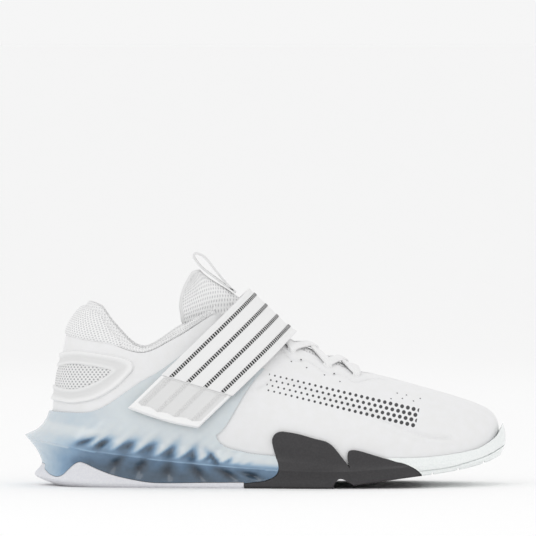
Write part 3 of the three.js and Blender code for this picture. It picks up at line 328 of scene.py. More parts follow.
    def rib_at(self, x: Array, z: Array, side: Side = Side.OUTER) -> Array:
        """How many ribs forward a point of the side view is."""
        x, z = np.broadcast_arrays(np.asarray(x, float), np.asarray(z, float))
        low, high = np.zeros(x.shape), np.full(x.shape, float(self.TOE))
        for _ in range(self.HALVINGS):
            a = (low + high) / 2
            w = self.around(a, side)
            behind = self.bare(w, self.share_at(w, z))[..., 0] < x
            low, high = np.where(behind, a, low), np.where(behind, high, a)
        return low

    def length(self, w: Array) -> Array:
        """How long each rib is."""
        w = np.asarray(w, float)
        steps = self.bare(w[None], np.linspace(0, 1, 33).reshape((-1,) + (1,) * w.ndim))
        return np.linalg.norm(np.diff(steps, axis=0), axis=-1).sum(axis=0)

    def end(self, w: Array) -> Array:
        """The share of a rib that the upper covers: all of it, but for the throat."""
        a = self.along(w)
        corner = np.minimum(1, a - self.TOPLINE_END)
        front = np.minimum(1, np.sqrt(np.maximum(0, self.THROAT_FRONT - a)))
        open_part = self.THROAT_HALF_WIDTH * np.minimum(corner, front) / self.length(w)
        return np.where((a <= self.TOPLINE_END) | (a >= self.THROAT_FRONT), 1.0, 1 - open_part)

    def wall(self, w: Array, t: Array) -> Array:
        """The upper's thickness, which is more round the ankle."""
        return self.WALL + self.ANKLE_PADDING * smooth(0.35, 0.85, t) * (1 - smooth(5, 7, self.along(w)))

    def stations(self, count: int) -> Array:
        """Places round the foot, evenly apart and the same on both sides; the last one is the first again."""
        a = np.linspace(0, self.TOE, 601)
        outer = lengths(self.bare(a, np.full(a.shape, 0.2)))
        inner = lengths(self.bare(self.ROUND - a, np.full(a.shape, 0.2)))
        half = np.interp(np.linspace(0, 1, count // 2 + 1), (outer + inner) / (outer + inner)[-1], a)
        return np.concatenate([half, self.ROUND - half[-2::-1]])


LAST = Last()


# Meshes.


def read_places(mesh: bpy.types.Mesh) -> Array:
    """A mesh's points."""
    flat = np.empty(len(mesh.vertices) * 3)
    mesh.vertices.foreach_get("co", flat)
    return flat.reshape(-1, 3)


def write_places(mesh: bpy.types.Mesh, points: Array) -> None:
    """Moves a mesh's points."""
    mesh.vertices.foreach_set("co", np.ascontiguousarray(points, float).ravel())
    mesh.update()


def meshed(form: bmesh.types.BMesh, name: str) -> bpy.types.Mesh:
    """A mesh from a form, which is freed."""
    mesh = bpy.data.meshes.new(name)
    form.to_mesh(mesh)
    form.free()
    return mesh


def linked(name: str, data: bpy.types.ID) -> Object:
    """A new object in the scene."""
    piece = bpy.data.objects.new(name, data)
    bpy.context.scene.collection.objects.link(piece)
    return piece


class Skin:
    """A grid from the mesh operator, bent over a form."""

    def __init__(self, points: Array) -> None:
        """Bends a grid.

        Args:
            points: Rows of columns of points, in millimetres.
        """
        rows, columns = points.shape[:2]
        form = bmesh.new()
        bmesh.ops.create_grid(form, x_segments=columns - 1, y_segments=rows - 1, size=1.0)
        self.mesh = meshed(form, "skin")
        flat = read_places(self.mesh)
        self.column = np.rint((flat[:, 0] + 1) / 2 * (columns - 1)).astype(int)
        self.row = np.rint((flat[:, 1] + 1) / 2 * (rows - 1)).astype(int)
        write_places(self.mesh, points[self.row, self.column])

    def chart(self, u: Array, v: Array) -> "Skin":
        """Gives the skin a map of its own surface, in millimetres: two numbers for each point."""
        both = np.stack(np.broadcast_arrays(u, v), -1)[self.row, self.column]
        corners = np.empty(len(self.mesh.loops), int)
        self.mesh.loops.foreach_get("vertex_index", corners)
        self.mesh.uv_layers.new(name="chart").data.foreach_set("uv", both[corners].astype(float).ravel())
        return self

    def mark(self, name: str, values: Array) -> "Skin":
        """Gives each point a number that a finish or a modifier reads."""
        layer = self.mesh.attributes.new(name, "FLOAT", "POINT")
        layer.data.foreach_set("value", np.ascontiguousarray(values[self.row, self.column], float))
        return self

    def sew(self, name: str, turned: bool = False, closed: bool = False) -> Object:
        """Merges the seams and makes the skin a piece.

        Args:
            name: The piece's name.
            turned: Whether the grid faces inwards as it was bent.
            closed: Whether its open ends are filled.
        """
        form = bmesh.new()
        form.from_mesh(self.mesh)
        bmesh.ops.remove_doubles(form, verts=form.verts, dist=0.004)
        if closed:
            bmesh.ops.holes_fill(form, edges=[e for e in form.edges if e.is_boundary], sides=0)
            bmesh.ops.recalc_face_normals(form, faces=form.faces)
        elif turned:
            bmesh.ops.reverse_faces(form, faces=form.faces)
        form.to_mesh(self.mesh)
        form.free()
        return linked(name, self.mesh)


def bake(piece: Object) -> None:
    """Applies a piece's modifiers."""
    bpy.context.view_layer.update()
    shape = piece.evaluated_get(bpy.context.evaluated_depsgraph_get())
    mesh = bpy.data.meshes.new_from_object(shape)
    piece.modifiers.clear()
    piece.data = mesh


def thicken(piece: Object, thickness: float, share: str = "", offset: float = -1.0) -> None:
    """Gives a skin its thickness.

    Args:
        piece: The skin.
        thickness: In millimetres.
        share: The mark with the share of it at each point, or nothing.
        offset: Where the skin lies in it: -1 outside, 0 in the middle.
    """
    wall = piece.modifiers.new("wall", "SOLIDIFY")
    wall.thickness = thickness
    wall.offset = offset
    if share:
        values = np.empty(len(piece.data.vertices))
        piece.data.attributes[share].data.foreach_get("value", values)
        group = piece.vertex_groups.new(name=share)
        for index, value in enumerate(values):
            group.add([index], float(value), "REPLACE")
        wall.vertex_group = share
    bake(piece)


def soften_rims(piece: Object, width: float, angle: float = 50.0, segments: int = 2) -> None:
    """Rounds the sharp edges of a thick piece."""
    rim = piece.modifiers.new("rim", "BEVEL")
    rim.width = width
    rim.segments = segments
    rim.limit_method = "ANGLE"
    rim.angle_limit = math.radians(angle)
    bake(piece)


def prism(outline: Array, low: float = -ACROSS, high: float = ACROSS) -> Object:
    """A solid across the shoe, with its outline as seen from the side.

    Args:
        outline: Points (x, z) in millimetres.
        low: Where it begins across the shoe.
        high: Where it ends.
    """
    form = bmesh.new()
    corners = [form.verts.new((x, low, z)) for x, z in outline]
    edges = [form.edges.new(pair) for pair in zip(corners, corners[1:] + corners[:1])]
    bmesh.ops.contextual_create(form, geom=edges)
    grown = bmesh.ops.extrude_face_region(form, geom=form.faces[:])
    moved = [v for v in grown["geom"] if isinstance(v, bmesh.types.BMVert)]
    bmesh.ops.translate(form, verts=moved, vec=(0, high - low, 0))
    bmesh.ops.recalc_face_normals(form, faces=form.faces)
    return linked("prism", meshed(form, "prism"))


def combine(piece: Object, tool: Object, how: Join, keep_tool: bool = False) -> Object:
    """Cuts, keeps or adds a solid, and gives the piece back."""
    meeting = piece.modifiers.new("meeting", "BOOLEAN")
    meeting.solver = "MANIFOLD"
    meeting.operation = how.value
    meeting.object = tool
    bake(piece)
    if not keep_tool:
        bpy.data.objects.remove(tool)
    return piece


def settle(
    piece: Object, finish: Material, *nodes: str, angle: float = 38.0, padding: float | None = None
) -> Object:
    """Moves a finished piece into the frame, dresses it and hides the solids that it stands for.

    Args:
        piece: The piece, in millimetres from the heel.
        finish: Its material.
        nodes: The solids that it stands for, which are hidden.
        angle: Edges sharper than this stay sharp.
        padding: How full a padded piece is, or nothing for other pieces; not used.
    """
    mesh = piece.data
    mesh.transform(Matrix.Scale(MM, 4) @ Matrix.Translation(Vector((-CENTRE_X, -CENTRE_Y, 0))))
    mesh.materials.clear()
    mesh.materials.append(finish)
    mesh.shade_smooth()
    mesh.set_sharp_from_angle(angle=math.radians(angle))
    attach(piece, "root")
    if nodes:
        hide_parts(*nodes)
    log.info("%s: %d faces", piece.name, len(mesh.polygons))
    return piece


def cord(name: str, middle: Array, up: Array, width: Array | float, thickness: float) -> Object:
    """A closed cord or flat lace along a path.

    Args:
        name: The piece's name.
        middle: Its path.
        up: The direction of its thickness at each point.
        width: Across it, at each point or everywhere.
        thickness: Through it.

    Returns:
        The piece, with a map of its surface.
    """
    d = unit(np.gradient(middle, axis=0))
    side = unit(np.cross(d, up))
    rise = np.cross(side, d)
    turn = np.linspace(0, 2 * math.pi, 21)
    across = np.sign(np.cos(turn)) * np.abs(np.cos(turn)) ** 0.8
    height = np.sign(np.sin(turn)) * np.abs(np.sin(turn)) ** 0.8
    half = np.broadcast_to(width, len(middle)) / 2
    points = middle[None] + side[None] * (across[:, None] * half)[..., None]
    points = points + rise[None] * (height[:, None, None] * thickness / 2)
    skin = Skin(points).chart(across[:, None] * half.max(), lengths(middle)[None, :])
    return skin.sew(name, closed=True)


def lids(rings: Array, share: Array) -> tuple[Array, Array]:
    """The rings that close a form round the shoe, drawn together on its middle.

    Args:
        rings: The form's rings, from the lowest.
        share: How far in each new ring is, rising to 1.

    Returns:
        The rings below the form and those above it.
    """
    mirror = rings[:, ::-1]
    part = share[:, None, None] / 2
    under = rings[:1] * (1 - part[::-1]) + mirror[:1] * part[::-1]
    return under, rings[-1:] * (1 - part) + mirror[-1:] * part


def along_line(points: Array, line: Array) -> Array:
    """How far points of the side view are from a line there, in millimetres."""
    nearest = np.full(points.shape[:-1], 1e9)
    for spot in line:
        nearest = np.minimum(nearest, np.hypot(points[..., 0] - spot[0], points[..., 1] - spot[1]))
    return nearest


# Finishes.


def linear(code: str) -> tuple[float, float, float, float]:
    """The linear colour of an sRGB hex value."""
    parts = [int(code[i : i + 2], 16) / 255 for i in (1, 3, 5)]
    lit = [p / 12.92 if p <= 0.04045 else ((p + 0.055) / 1.055) ** 2.4 for p in parts]
    return (lit[0], lit[1], lit[2], 1.0)


class Coat:
    """A material while its nodes are added: its tree, its shader and the relief so far."""

    def __init__(self, name: str) -> None:
        """Starts the material."""
        self.material = bpy.data.materials.new(name)
        self.material.use_nodes = True
        self.tree = self.material.node_tree
        self.shader = self.tree.nodes["Principled BSDF"]
        self.relief: Socket | None = None

    def connect(self, node: Node, inputs: dict[int | str, object]) -> None:
        """Gives a node's inputs their values, or the sockets that feed them."""
        for key, value in inputs.items():
            if isinstance(value, bpy.types.NodeSocket):
                self.tree.links.new(value, node.inputs[key])
            else:
                node.inputs[key].default_value = value

    def add(
        self,
        kind: str,
        *inputs: object,
        named: dict[int | str, object] | None = None,
        out: int | str = 0,
        **settings: object,
    ) -> Socket:
        """Adds a node.

        Args:
            kind: Its type, without ShaderNode before it.
            inputs: A value or a feeding socket for each input, from the first.
            named: The same for other inputs, by name or number.
            out: The output that is wanted.
            settings: The node's own settings.

        Returns:
            That output.
        """
        node = self.tree.nodes.new("ShaderNode" + kind)
        for name, value in settings.items():
            setattr(node, name, value)
        self.connect(node, {**dict(enumerate(inputs)), **(named or {})})
        return node.outputs[out]

    def chart(self) -> list[Socket]:
        """Where a point is on the piece's own surface, in millimetres, as two numbers."""
        return self.add("SeparateXYZ", self.add("UVMap", uv_map="chart")).node.outputs[:2]

    def texture(self, kind: str, size: float, **more: object) -> Socket:
        """A texture laid over the object, with grains of a size in millimetres."""
        where = self.add("TexCoord", out="Object")
        return self.add(kind, named={"Vector": where, "Scale": 1 / (size * MM)}, **more)

    def blend(self, share: Socket, low: str | Socket, high: str) -> Socket:
        """Colours the surface from one colour to another.

        Args:
            share: 0 for the first colour and 1 for the second.
            low: The first, as a hex value or a socket.
            high: The second.

        Returns:
            The mixed colour.
        """
        first = linear(low) if isinstance(low, str) else low
        colour = self.add("Mix", share, named={6: first, 7: linear(high)}, out=2, data_type="RGBA")
        self.connect(self.shader, {"Base Color": colour})
        return colour

    def mottle(self, low: str, high: str, size: float) -> Socket:
        """Varies the colour gently between two, in clouds of a size in millimetres."""
        return self.blend(self.add("MapRange", self.texture("TexNoise", size), 0.35, 0.65), low, high)

    def raise_by(self, height: Socket, depth: float) -> None:
        """Adds relief that is depth millimetres deep, from a height of 0 to 1, to the relief so far."""
        below = {"Normal": self.relief} if self.relief else {}
        inputs = {"Height": height, "Strength": 1.0, "Distance": depth * MM, **below}
        self.relief = self.add("Bump", named=inputs)
        self.connect(self.shader, {"Normal": self.relief})

    def sink(self, spots: Socket, depth: float) -> None:
        """Sinks spots by depth millimetres."""
        self.raise_by(self.add("Math", 1.0, spots, operation="SUBTRACT"), depth)

    def bars(self, along: Socket, pitch: float, low: float, high: float) -> Socket:
        """Soft bars across a line.

        Args:
            along: How far along it a point is.
            pitch: From bar to bar.
            low: The sine below which it is 0.
            high: The sine above which it is 1.

        Returns:
            1 on a bar and 0 between.
        """
        turns = self.add("Math", along, 2 * math.pi / pitch, operation="MULTIPLY")
        return self.add("MapRange", self.add("Math", turns, operation="SINE"), low, high)

    def staggered(
        self, pitch: tuple[float, float], radius: Socket | float, blur: float, stretch: float = 1.0
    ) -> Socket:
        """Round or long spots in staggered rows, on the piece's own surface.

        Args:
            pitch: From spot to spot and from row to row.
            radius: Of a spot.
            blur: How soft its edge is.
            stretch: How many times longer it is along its row.

        Returns:
            1 in a spot and 0 between.
        """
        steps = zip(self.chart(), pitch)
        x, y = (self.add("Math", part, 1 / step, operation="MULTIPLY") for part, step in steps)
        odd = self.add("Math", self.add("Math", y, operation="FLOOR"), 2.0, operation="FLOORED_MODULO")
        x = self.add("Math", odd, 0.5, x, operation="MULTIPLY_ADD")
        inside = []
        for part, width in ((x, pitch[0] / stretch), (y, pitch[1])):
            share = self.add("Math", part, operation="FRACT")
            middle = self.add("Math", share, 0.5, operation="SUBTRACT")
            inside.append(self.add("Math", middle, width, operation="MULTIPLY"))
        away = self.add("VectorMath", self.add("CombineXYZ", *inside), out="Value", operation="LENGTH")
        past = self.add("Math", away, radius, operation="SUBTRACT")
        return self.add("MapRange", past, -blur, blur, 1.0, 0.0)


@dataclass(frozen=True)
class Finish:
    """A material of one colour, before its pattern."""

    name: str
    colour: str
    roughness: float = 0.5

    shine: ClassVar[dict[str, object]] = {}

    def make(self) -> Material:
        """Builds the material."""
        coat = Coat(self.name)
        plain = {"Base Color": linear(self.colour), "Roughness": self.roughness, "IOR": 1.5}
        coat.connect(coat.shader, {**plain, **self.shine})
        self.dress(coat)
        return coat.material

    def dress(self, coat: Coat) -> None:
        """Adds the pattern. A plain finish has none."""


@dataclass(frozen=True)
class Leather(Finish):
    """Coated microfibre leather, pressed with a fine grain: satin, with a soft sheen on its curves."""

    other: str = "#ebebec"
    cloud: float = 6.0
    grain: float = 0.9
    depth: float = 0.05
    ink: str = "#3b3b3d"
    band: tuple[float, float] = (96.0, 12.8)
    pitch: tuple[float, float] = (3.7, 3.2)
    full_size_at: float = 92.0
    radii: tuple[float, float] = (0.55, 1.25)

    shine = {"Coat Weight": 0.06, "Coat Roughness": 0.35}

    def dress(self, coat: Coat) -> None:
        """Grain, a faint mottle, and a band of printed dots that grow to their full size along it."""
        plain = coat.mottle(self.colour, self.other, self.cloud)
        cells = coat.texture("TexVoronoi", self.grain, out="Distance", feature="SMOOTH_F1")
        coat.raise_by(cells, self.depth)
        parts = coat.chart()
        radius = coat.add("MapRange", parts[0], 0.0, self.full_size_at, *self.radii)
        dots = coat.staggered(self.pitch, radius, 0.12)
        for part, length in zip(parts, self.band):
            for limit, test in ((0.0, "GREATER_THAN"), (length, "LESS_THAN")):
                within = coat.add("Math", part, limit, operation=test)
                dots = coat.add("Math", dots, within, operation="MULTIPLY")
        coat.blend(dots, plain, self.ink)


@dataclass(frozen=True)
class SpacerMesh(Finish):
    """Knitted polyester spacer mesh: matt, with small round holes in staggered rows, painted grey as the
    shade inside them.
    """

    hole_shade_colour: str = "#a3a3a5"
    pitch: tuple[float, float] = (2.1, 1.05)
    radius: float = 0.42
    depth: float = 0.5
    stretch: float = 1.0
    thread: float = 0.35

    shine = {"Sheen Weight": 0.25, "Sheen Roughness": 0.5}

    def dress(self, coat: Coat) -> None:
        """Paints shade into the holes and sinks them, over the fine threads."""
        holes = coat.staggered(self.pitch, self.radius, 0.3, self.stretch)
        coat.blend(holes, self.colour, self.hole_shade_colour)
        coat.sink(holes, self.depth)
        coat.raise_by(coat.texture("TexNoise", self.thread), 0.05)


@dataclass(frozen=True)
class Woven(Finish):
    """Woven polyester tape: matt, with the slanted ridges of its threads across it."""

    thread: float = 0.9
    rows: float = 0.8
    depth: float = 0.16
    shade: str = "#dcdcdc"

    shine = {"Sheen Weight": 0.2}

    def dress(self, coat: Coat) -> None:
        """Threads in offset rows, with shade between them."""
        across, down = coat.chart()
        across = coat.add("Math", across, 1 / self.rows, operation="MULTIPLY")
        share = coat.add("Math", across, operation="FRACT")
        crown = coat.add("Math", coat.add("Math", share, math.pi, operation="MULTIPLY"), operation="SINE")
        down = coat.add("Math", down, 1 / self.thread, operation="MULTIPLY")
        row = coat.add("Math", across, operation="FLOOR")
        down = coat.add("Math", row, 0.5, down, operation="MULTIPLY_ADD")
        height = coat.add("Math", coat.bars(down, 1.0, -1.0, 1.0), crown, operation="MULTIPLY")
        coat.blend(height, self.shade, self.colour)
        coat.raise_by(height, self.depth)


@dataclass(frozen=True)
class StitchedThread(Finish):
    """Black polyester thread, sewn over and over a white core, so that black and white bars take turns."""

    white: str = "#d4d4d4"
    pitch: float = 1.6
    slant: float = -0.12

    def dress(self, coat: Coat) -> None:
        """Slanted bars along the line."""
        across, along = coat.chart()
        slanted = coat.add("Math", across, self.slant, along, operation="MULTIPLY_ADD")
        bar = coat.bars(slanted, self.pitch, 0.1, 0.6)
        coat.blend(bar, self.colour, self.white)
        coat.raise_by(bar, 0.12)


@dataclass(frozen=True)
class Polyurethane(Finish):
    """Moulded polyurethane: smooth and satin, with a faint orange peel from its mould."""

    peel: float = 1.6
    depth: float = 0.02
    sunk_shade_colour: str = "#dedede"

    shine = {"Coat Weight": 0.1, "Coat Roughness": 0.3}

    def dress(self, coat: Coat) -> None:
        """Orange peel, and a greyer colour in the sunk parts: painted shade."""
        coat.blend(coat.add("Attribute", out="Fac", attribute_name="sunk"), self.colour, self.sunk_shade_colour)
        coat.raise_by(coat.texture("TexNoise", self.peel), self.depth)


@dataclass(frozen=True)
class Rubber(Finish):
    """Moulded rubber: matt, with a fine stipple that breaks up its highlights."""

    other: str = "#dededf"
    stipple: float = 0.7
    depth: float = 0.06
    cloud: float = 1.1

    def dress(self, coat: Coat) -> None:
        """Stipple and mottle."""
        coat.mottle(self.colour, self.other, self.cloud)
        coat.raise_by(coat.texture("TexNoise", self.stipple), self.depth)


@dataclass(frozen=True)
class ClearRubber(Rubber):
    """Milky, see-through rubber: smoother than the other rubber, and lit a little from within."""

    shine = {
        "Subsurface Weight": 0.25,
        "Subsurface Radius": (0.004, 0.004, 0.004),
        "Coat Weight": 0.25,
        "Coat Roughness": 0.15,
    }


@dataclass(frozen=True)
class BlueTpu(Finish):
    """Injection-moulded, see-through blue TPU: glossy and nearly clear where thin, with painted shade in its
    hollows and under its ridge and a painted highlight along the ridge.
    """

    # The darkest stops are painted shade for the pockets and for the area under the ridge.
    stops: tuple[tuple[float, str], ...] = (
        (0.0, "#dbe1e2"),
        (0.2, "#ccd4d9"),
        (0.4, "#b0c3d1"),
        (0.6, "#82a0bb"),
        (0.75, "#5b7690"),
        (0.88, "#465869"),
        (1.0, "#262f3b"),
    )
    cloud: float = 6.0
    swing: float = 0.025
    ripple: float = 3.0

    shine = {
        "Coat Weight": 0.5,
        "Coat Roughness": 0.08,
        "Subsurface Weight": 0.12,
        "Subsurface Radius": (0.003, 0.004, 0.005),
    }

    def dress(self, coat: Coat) -> None:
        """Colours the clip from its depth mark: the blue fade, with its painted shade and painted highlight.
        """
        depth = coat.add("Attribute", out="Fac", attribute_name="depth")
        cloud = coat.add("MapRange", coat.texture("TexNoise", self.cloud), 0.3, 0.7, -self.swing, self.swing)
        colour = coat.add("ValToRGB", coat.add("Math", depth, cloud, operation="ADD"))
        marks = colour.node.color_ramp.elements
        for position, code in self.stops[1:-1]:
            marks.new(position).color = linear(code)
        for mark, (_, code) in ((marks[0], self.stops[0]), (marks[-1], self.stops[-1])):
            mark.color = linear(code)
        coat.connect(coat.shader, {"Base Color": colour})
        coat.raise_by(coat.texture("TexNoise", self.ripple), 0.03)


@dataclass(frozen=True)
class KnitRoll(Finish):
    """Knitted tape with ribs across it: matt, with a row of small gaps between the ribs."""

    shade: str = "#cdcdcf"
    rib: float = 1.9
    depth: float = 0.35

    shine = {"Sheen Weight": 0.25}

    def dress(self, coat: Coat) -> None:
        """Ribs and the gaps between them."""
        gaps = coat.staggered((self.rib, self.rib), 0.3, 0.3)
        coat.blend(gaps, self.colour, self.shade)
        coat.raise_by(coat.bars(coat.chart()[0], self.rib, -1.0, 0.4), self.depth)
        coat.sink(gaps, 0.3)


# Pieces.


@dataclass
class Upper:
    """The leather upper, with its pressed lines, punched holes and eyelets."""

    columns: int = 420
    rows: int = 84
    eyelet_back: float = 7.35
    eyelet_front: float = 9.85
    eyelet_rows: int = 4
    eyelet_inset: float = 6.0
    hole_radius: float = 0.55
    eyelet_radius: float = 2.4
    spot_height: float = 0.3
    press_depth: float = 1.1
    press_width: float = 1.1
    welt_height: float = 0.45
    welt_away: float = 2.6
    welt_width: float = 1.4
    stay_width: float = 13.0
    stay_depth: float = 0.95
    scallop: float = 2.4
    stay_back: tuple[float, float] = (6.6, 7.2)
    stay_front: tuple[float, float] = (10.4, 10.9)
    panel_line: Pairs = (
        (146, 62.5), (152, 66), (162, 66.5), (176, 62), (195, 55), (215, 46.5), (235, 37.5), (252, 31.5),
        (264, 30.5),
    )
    pinholes: Pairs = (
        (166.5, 78.0), (172.6, 79.1), (176.0, 74.2),
        (187.1, 69.7), (193.2, 70.5), (196.7, 65.6),
        (232.4, 58.2), (238.2, 57.0), (235.6, 55.0), (242.5, 53.4), (246.8, 54.8), (228.5, 55.0),
    )

    band_start: tuple[float, float] = (150.0, 59.5)
    band_turn: float = -13.6
    off_the_band: float = -500.0

    def eyelets(self) -> Array:
        """The ribs that the eyelets are on, from the front."""
        return np.linspace(self.eyelet_front, self.eyelet_back, self.eyelet_rows)

    def eyelet_share(self, w: Array) -> Array:
        """How far up its rib an eyelet is."""
        return LAST.end(w) - self.eyelet_inset / LAST.length(w)

    def relief(self, w: Array, t: Array, points: Array) -> Array:
        """The pressed lines: one along the side, and a scalloped one round the eyelets."""
        a = LAST.along(w)
        line = spline(np.array(self.panel_line), 120)
        away = along_line(points[..., [0, 2]], line)
        pressed = -self.press_depth * np.exp(-((away / self.press_width) ** 2))
        pressed += self.welt_height * np.exp(-(((away - self.welt_away) / self.welt_width) ** 2))
        down = (LAST.end(w) - t) * LAST.length(w)
        spacing = (self.eyelet_front - self.eyelet_back) / (self.eyelet_rows - 1)
        scallop = self.stay_width + self.scallop * np.cos(2 * math.pi * (a - self.eyelet_front) / spacing)
        beside = smooth(*self.stay_back, a) * (1 - smooth(*self.stay_front, a))
        return pressed - self.stay_depth * beside * np.exp(-((down - scallop) ** 2))

    def build(self, finish: Material) -> Object:
        """The upper as one thick skin."""
        w = LAST.stations(self.columns)[None, :]
        share = np.linspace(0, 1, self.rows)[:, None]
        cut = LAST.CUT_FROM
        t = np.where(share <= cut, share, cut + (share - cut) * (LAST.end(w) - cut) / (1 - cut))
        points = LAST.bare(w, t)
        points = points + LAST.normal(w, t) * self.relief(w, t, points)[..., None]
        turn = math.radians(self.band_turn)
        x, z = points[..., 0] - self.band_start[0], points[..., 2] - self.band_start[1]
        u = x * math.cos(turn) + z * math.sin(turn)
        v = -x * math.sin(turn) + z * math.cos(turn)
        outer = np.broadcast_to(w <= LAST.TOE, u.shape)
        skin = Skin(points).chart(*(np.where(outer, part, self.off_the_band) for part in (u, v)))
        skin.mark("wall", LAST.wall(w, t) / (LAST.WALL + LAST.ANKLE_PADDING))
        piece = skin.sew("upper_leather")
        thicken(piece, LAST.WALL + LAST.ANKLE_PADDING, "wall")
        return settle(piece, finish, "upper")

    def spots(self, name: str, places: list[tuple[Array, Array]], radius: float, finish: Material) -> Object:
        """Round dark spots on the leather, each a small disc.

        Args:
            name: The piece's name.
            places: The middle of each and the direction out of the shoe.
            radius: In millimetres.
            finish: Their material.
        """
        form = bmesh.new()
        for middle, out in places:
            turn = Vector((0, 0, 1)).rotation_difference(Vector(out)).to_matrix().to_4x4()
            place = Matrix.Translation(Vector(middle)) @ turn
            size = {"radius1": radius, "radius2": radius * 0.8, "depth": self.spot_height}
            bmesh.ops.create_cone(form, cap_ends=True, segments=16, matrix=place, **size)
        return settle(linked(name, meshed(form, name)), finish, "upper")

    def punch(self, finish: Material) -> None:
        """The pinholes and the eyelets."""
        holes = []
        for side in Side:
            for x, z in self.pinholes:
                w = LAST.around(LAST.rib_at(x, z, side), side)
                share = LAST.share_at(w, np.array(z))
                holes.append((LAST.point(w, share, 0.0), LAST.normal(w, share)))
        self.spots("pinholes", holes, self.hole_radius, finish)
        eyes = []
        for side in Side:
            w = LAST.around(self.eyelets(), side)
            share = self.eyelet_share(w)
            eyes += list(zip(LAST.point(w, share, 0.02), LAST.normal(w, share)))
        self.spots("eyelets", eyes, self.eyelet_radius, finish)


@dataclass
class HeelWindow:
    """The mesh window in the heel and the moulded frame round it, wrapped round the back."""

    frame_top: Pairs = (
        (0.228, 75), (0.2255, 77), (0.2165, 79), (0.2025, 80.4), (0.171, 82.3), (0.139, 83.7),
        (0.107, 84.5), (0.0762, 82.8),
    )
    frame_low: Pairs = (
        (0.228, 75), (0.225, 72.2), (0.2152, 68.8), (0.1946, 62.6), (0.163, 56.4), (0.131, 53),
        (0.0993, 51.6), (0.0754, 52.4),
    )
    window_top: Pairs = (
        (0.180, 71.6), (0.1775, 72.5), (0.166, 73.4), (0.155, 74.1), (0.139, 74.9), (0.1231, 75.5),
        (0.0993, 76), (0.069, 74.4),
    )
    window_low: Pairs = (
        (0.180, 71.6), (0.1765, 70.4), (0.1676, 68.6), (0.1468, 65), (0.1231, 62.1), (0.0993, 60.8),
        (0.0754, 61.6), (0.069, 62.1),
    )
    back: tuple[float, float, float, float] = (82.4, 53.2, 73.6, 62.9)
    sections: Pairs = (
        (0.0, -0.6), (0.02, 0.8), (0.07, 1.6), (0.14, 1.75), (0.24, 1.4), (0.42, 0.5), (0.6, 0.6),
        (0.78, 1.4), (0.9, 1.6),
        (0.97, 1.1), (1.0, -0.4),
    )
    columns: int = 150
    clear_of_back: float = 0.45

    def edge(self, points: Pairs, back: float) -> Array:
        """One edge of the outer side, from its tip to the middle of the back, as (ribs, height)."""
        seen = np.array([(x * LAST.LENGTH, z) for x, z in points])
        ribs = LAST.rib_at(seen[:, 0], seen[:, 1])
        clear = ribs > self.clear_of_back
        chart = np.append(np.stack([ribs, seen[:, 1]], -1)[clear], [[0.0, back]], axis=0)
        both = np.concatenate([chart, (chart * np.array([-1.0, 1.0]))[-2::-1]])
        line = spline(both, 1201)[:601]
        far = lengths(line * np.array([16.0, 1.0]))
        even = np.linspace(0, far[-1], self.columns)
        return np.stack([np.interp(even, far, line[:, 0]), np.interp(even, far, line[:, 1])], -1)

    def ring(self, top: Array, low: Array) -> Array:
        """A closed line round both sides of the heel, as (signed ribs, height)."""
        mirror = np.array([-1.0, 1.0])
        return np.concatenate([top, (top * mirror)[-2::-1], (low * mirror)[1:], low[-2::-1]])

    def lay(self, chart: Array, off: Array) -> Array:
        """Points over the last from (signed ribs, height)."""
        w = np.where(chart[..., 0] >= 0, chart[..., 0], LAST.ROUND + chart[..., 0])
        return LAST.over(w, chart[..., 1], off)

    def build(self, moulded: Material, mesh: Material) -> None:
        """The frame and the window."""
        ends = self.back
        outer = self.ring(self.edge(self.frame_top, ends[0]), self.edge(self.frame_low, ends[1]))
        inner = self.ring(self.edge(self.window_top, ends[2]), self.edge(self.window_low, ends[3]))
        knots = np.array(self.sections)
        edge = np.linspace(0, 0.1, 5)[:-1]
        across = np.concatenate([edge, np.linspace(0.1, 0.9, 13), np.linspace(0.9, 1, 5)[1:]])
        off = GAP + np.interp(across, knots[:, 0], knots[:, 1])
        chart = outer[None] * (1 - across)[:, None, None] + inner[None] * across[:, None, None]
        points = self.lay(chart, np.broadcast_to(off[:, None], chart.shape[:2]))
        # The frame's sunk channel is marked for painted shade, greyer than its rims.
        sunk = np.interp(across, [0, 0.2, 0.42, 0.7, 0.85, 1.0], [0, 0, 1.0, 1.0, 0.3, 0.3])
        skin = Skin(points).mark("sunk", np.broadcast_to(sunk[:, None], chart.shape[:2]))
        piece = skin.sew("heel_window_frame")
        thicken(piece, 0.5)
        settle(piece, moulded, "heel_frame", angle=60)
        self.fill(mesh)

    def fill(self, finish: Material) -> None:
        """The mesh in the window."""
        top = self.edge(self.window_top, self.back[2])[::-1]
        low = self.edge(self.window_low, self.back[3])[::-1]
        ribs = np.linspace(0, top[-1, 0] + 0.04, 70)
        high = np.interp(ribs, top[:, 0], top[:, 1]) + 0.5
        base = np.interp(ribs, low[:, 0], low[:, 1]) - 0.5
        both = [np.concatenate([side[:0:-1], side]) for side in (high, base)]
        signed = np.concatenate([ribs[:0:-1], -ribs])
        share = np.linspace(0, 1, 26)[:, None]
        z = both[1] * (1 - share) + both[0] * share
        chart = np.stack([np.broadcast_to(signed, z.shape), z], -1)
        crown = GAP + 0.25 + 0.5 * (1 - (2 * share - 1) ** 4) + 0 * z
        points = self.lay(chart, crown)
        along = lengths(points[13])
        piece = Skin(points).chart(along - along[69], z).sew("heel_window_mesh", turned=True)
        thicken(piece, 0.5)
        settle(piece, finish, "heel_mesh")


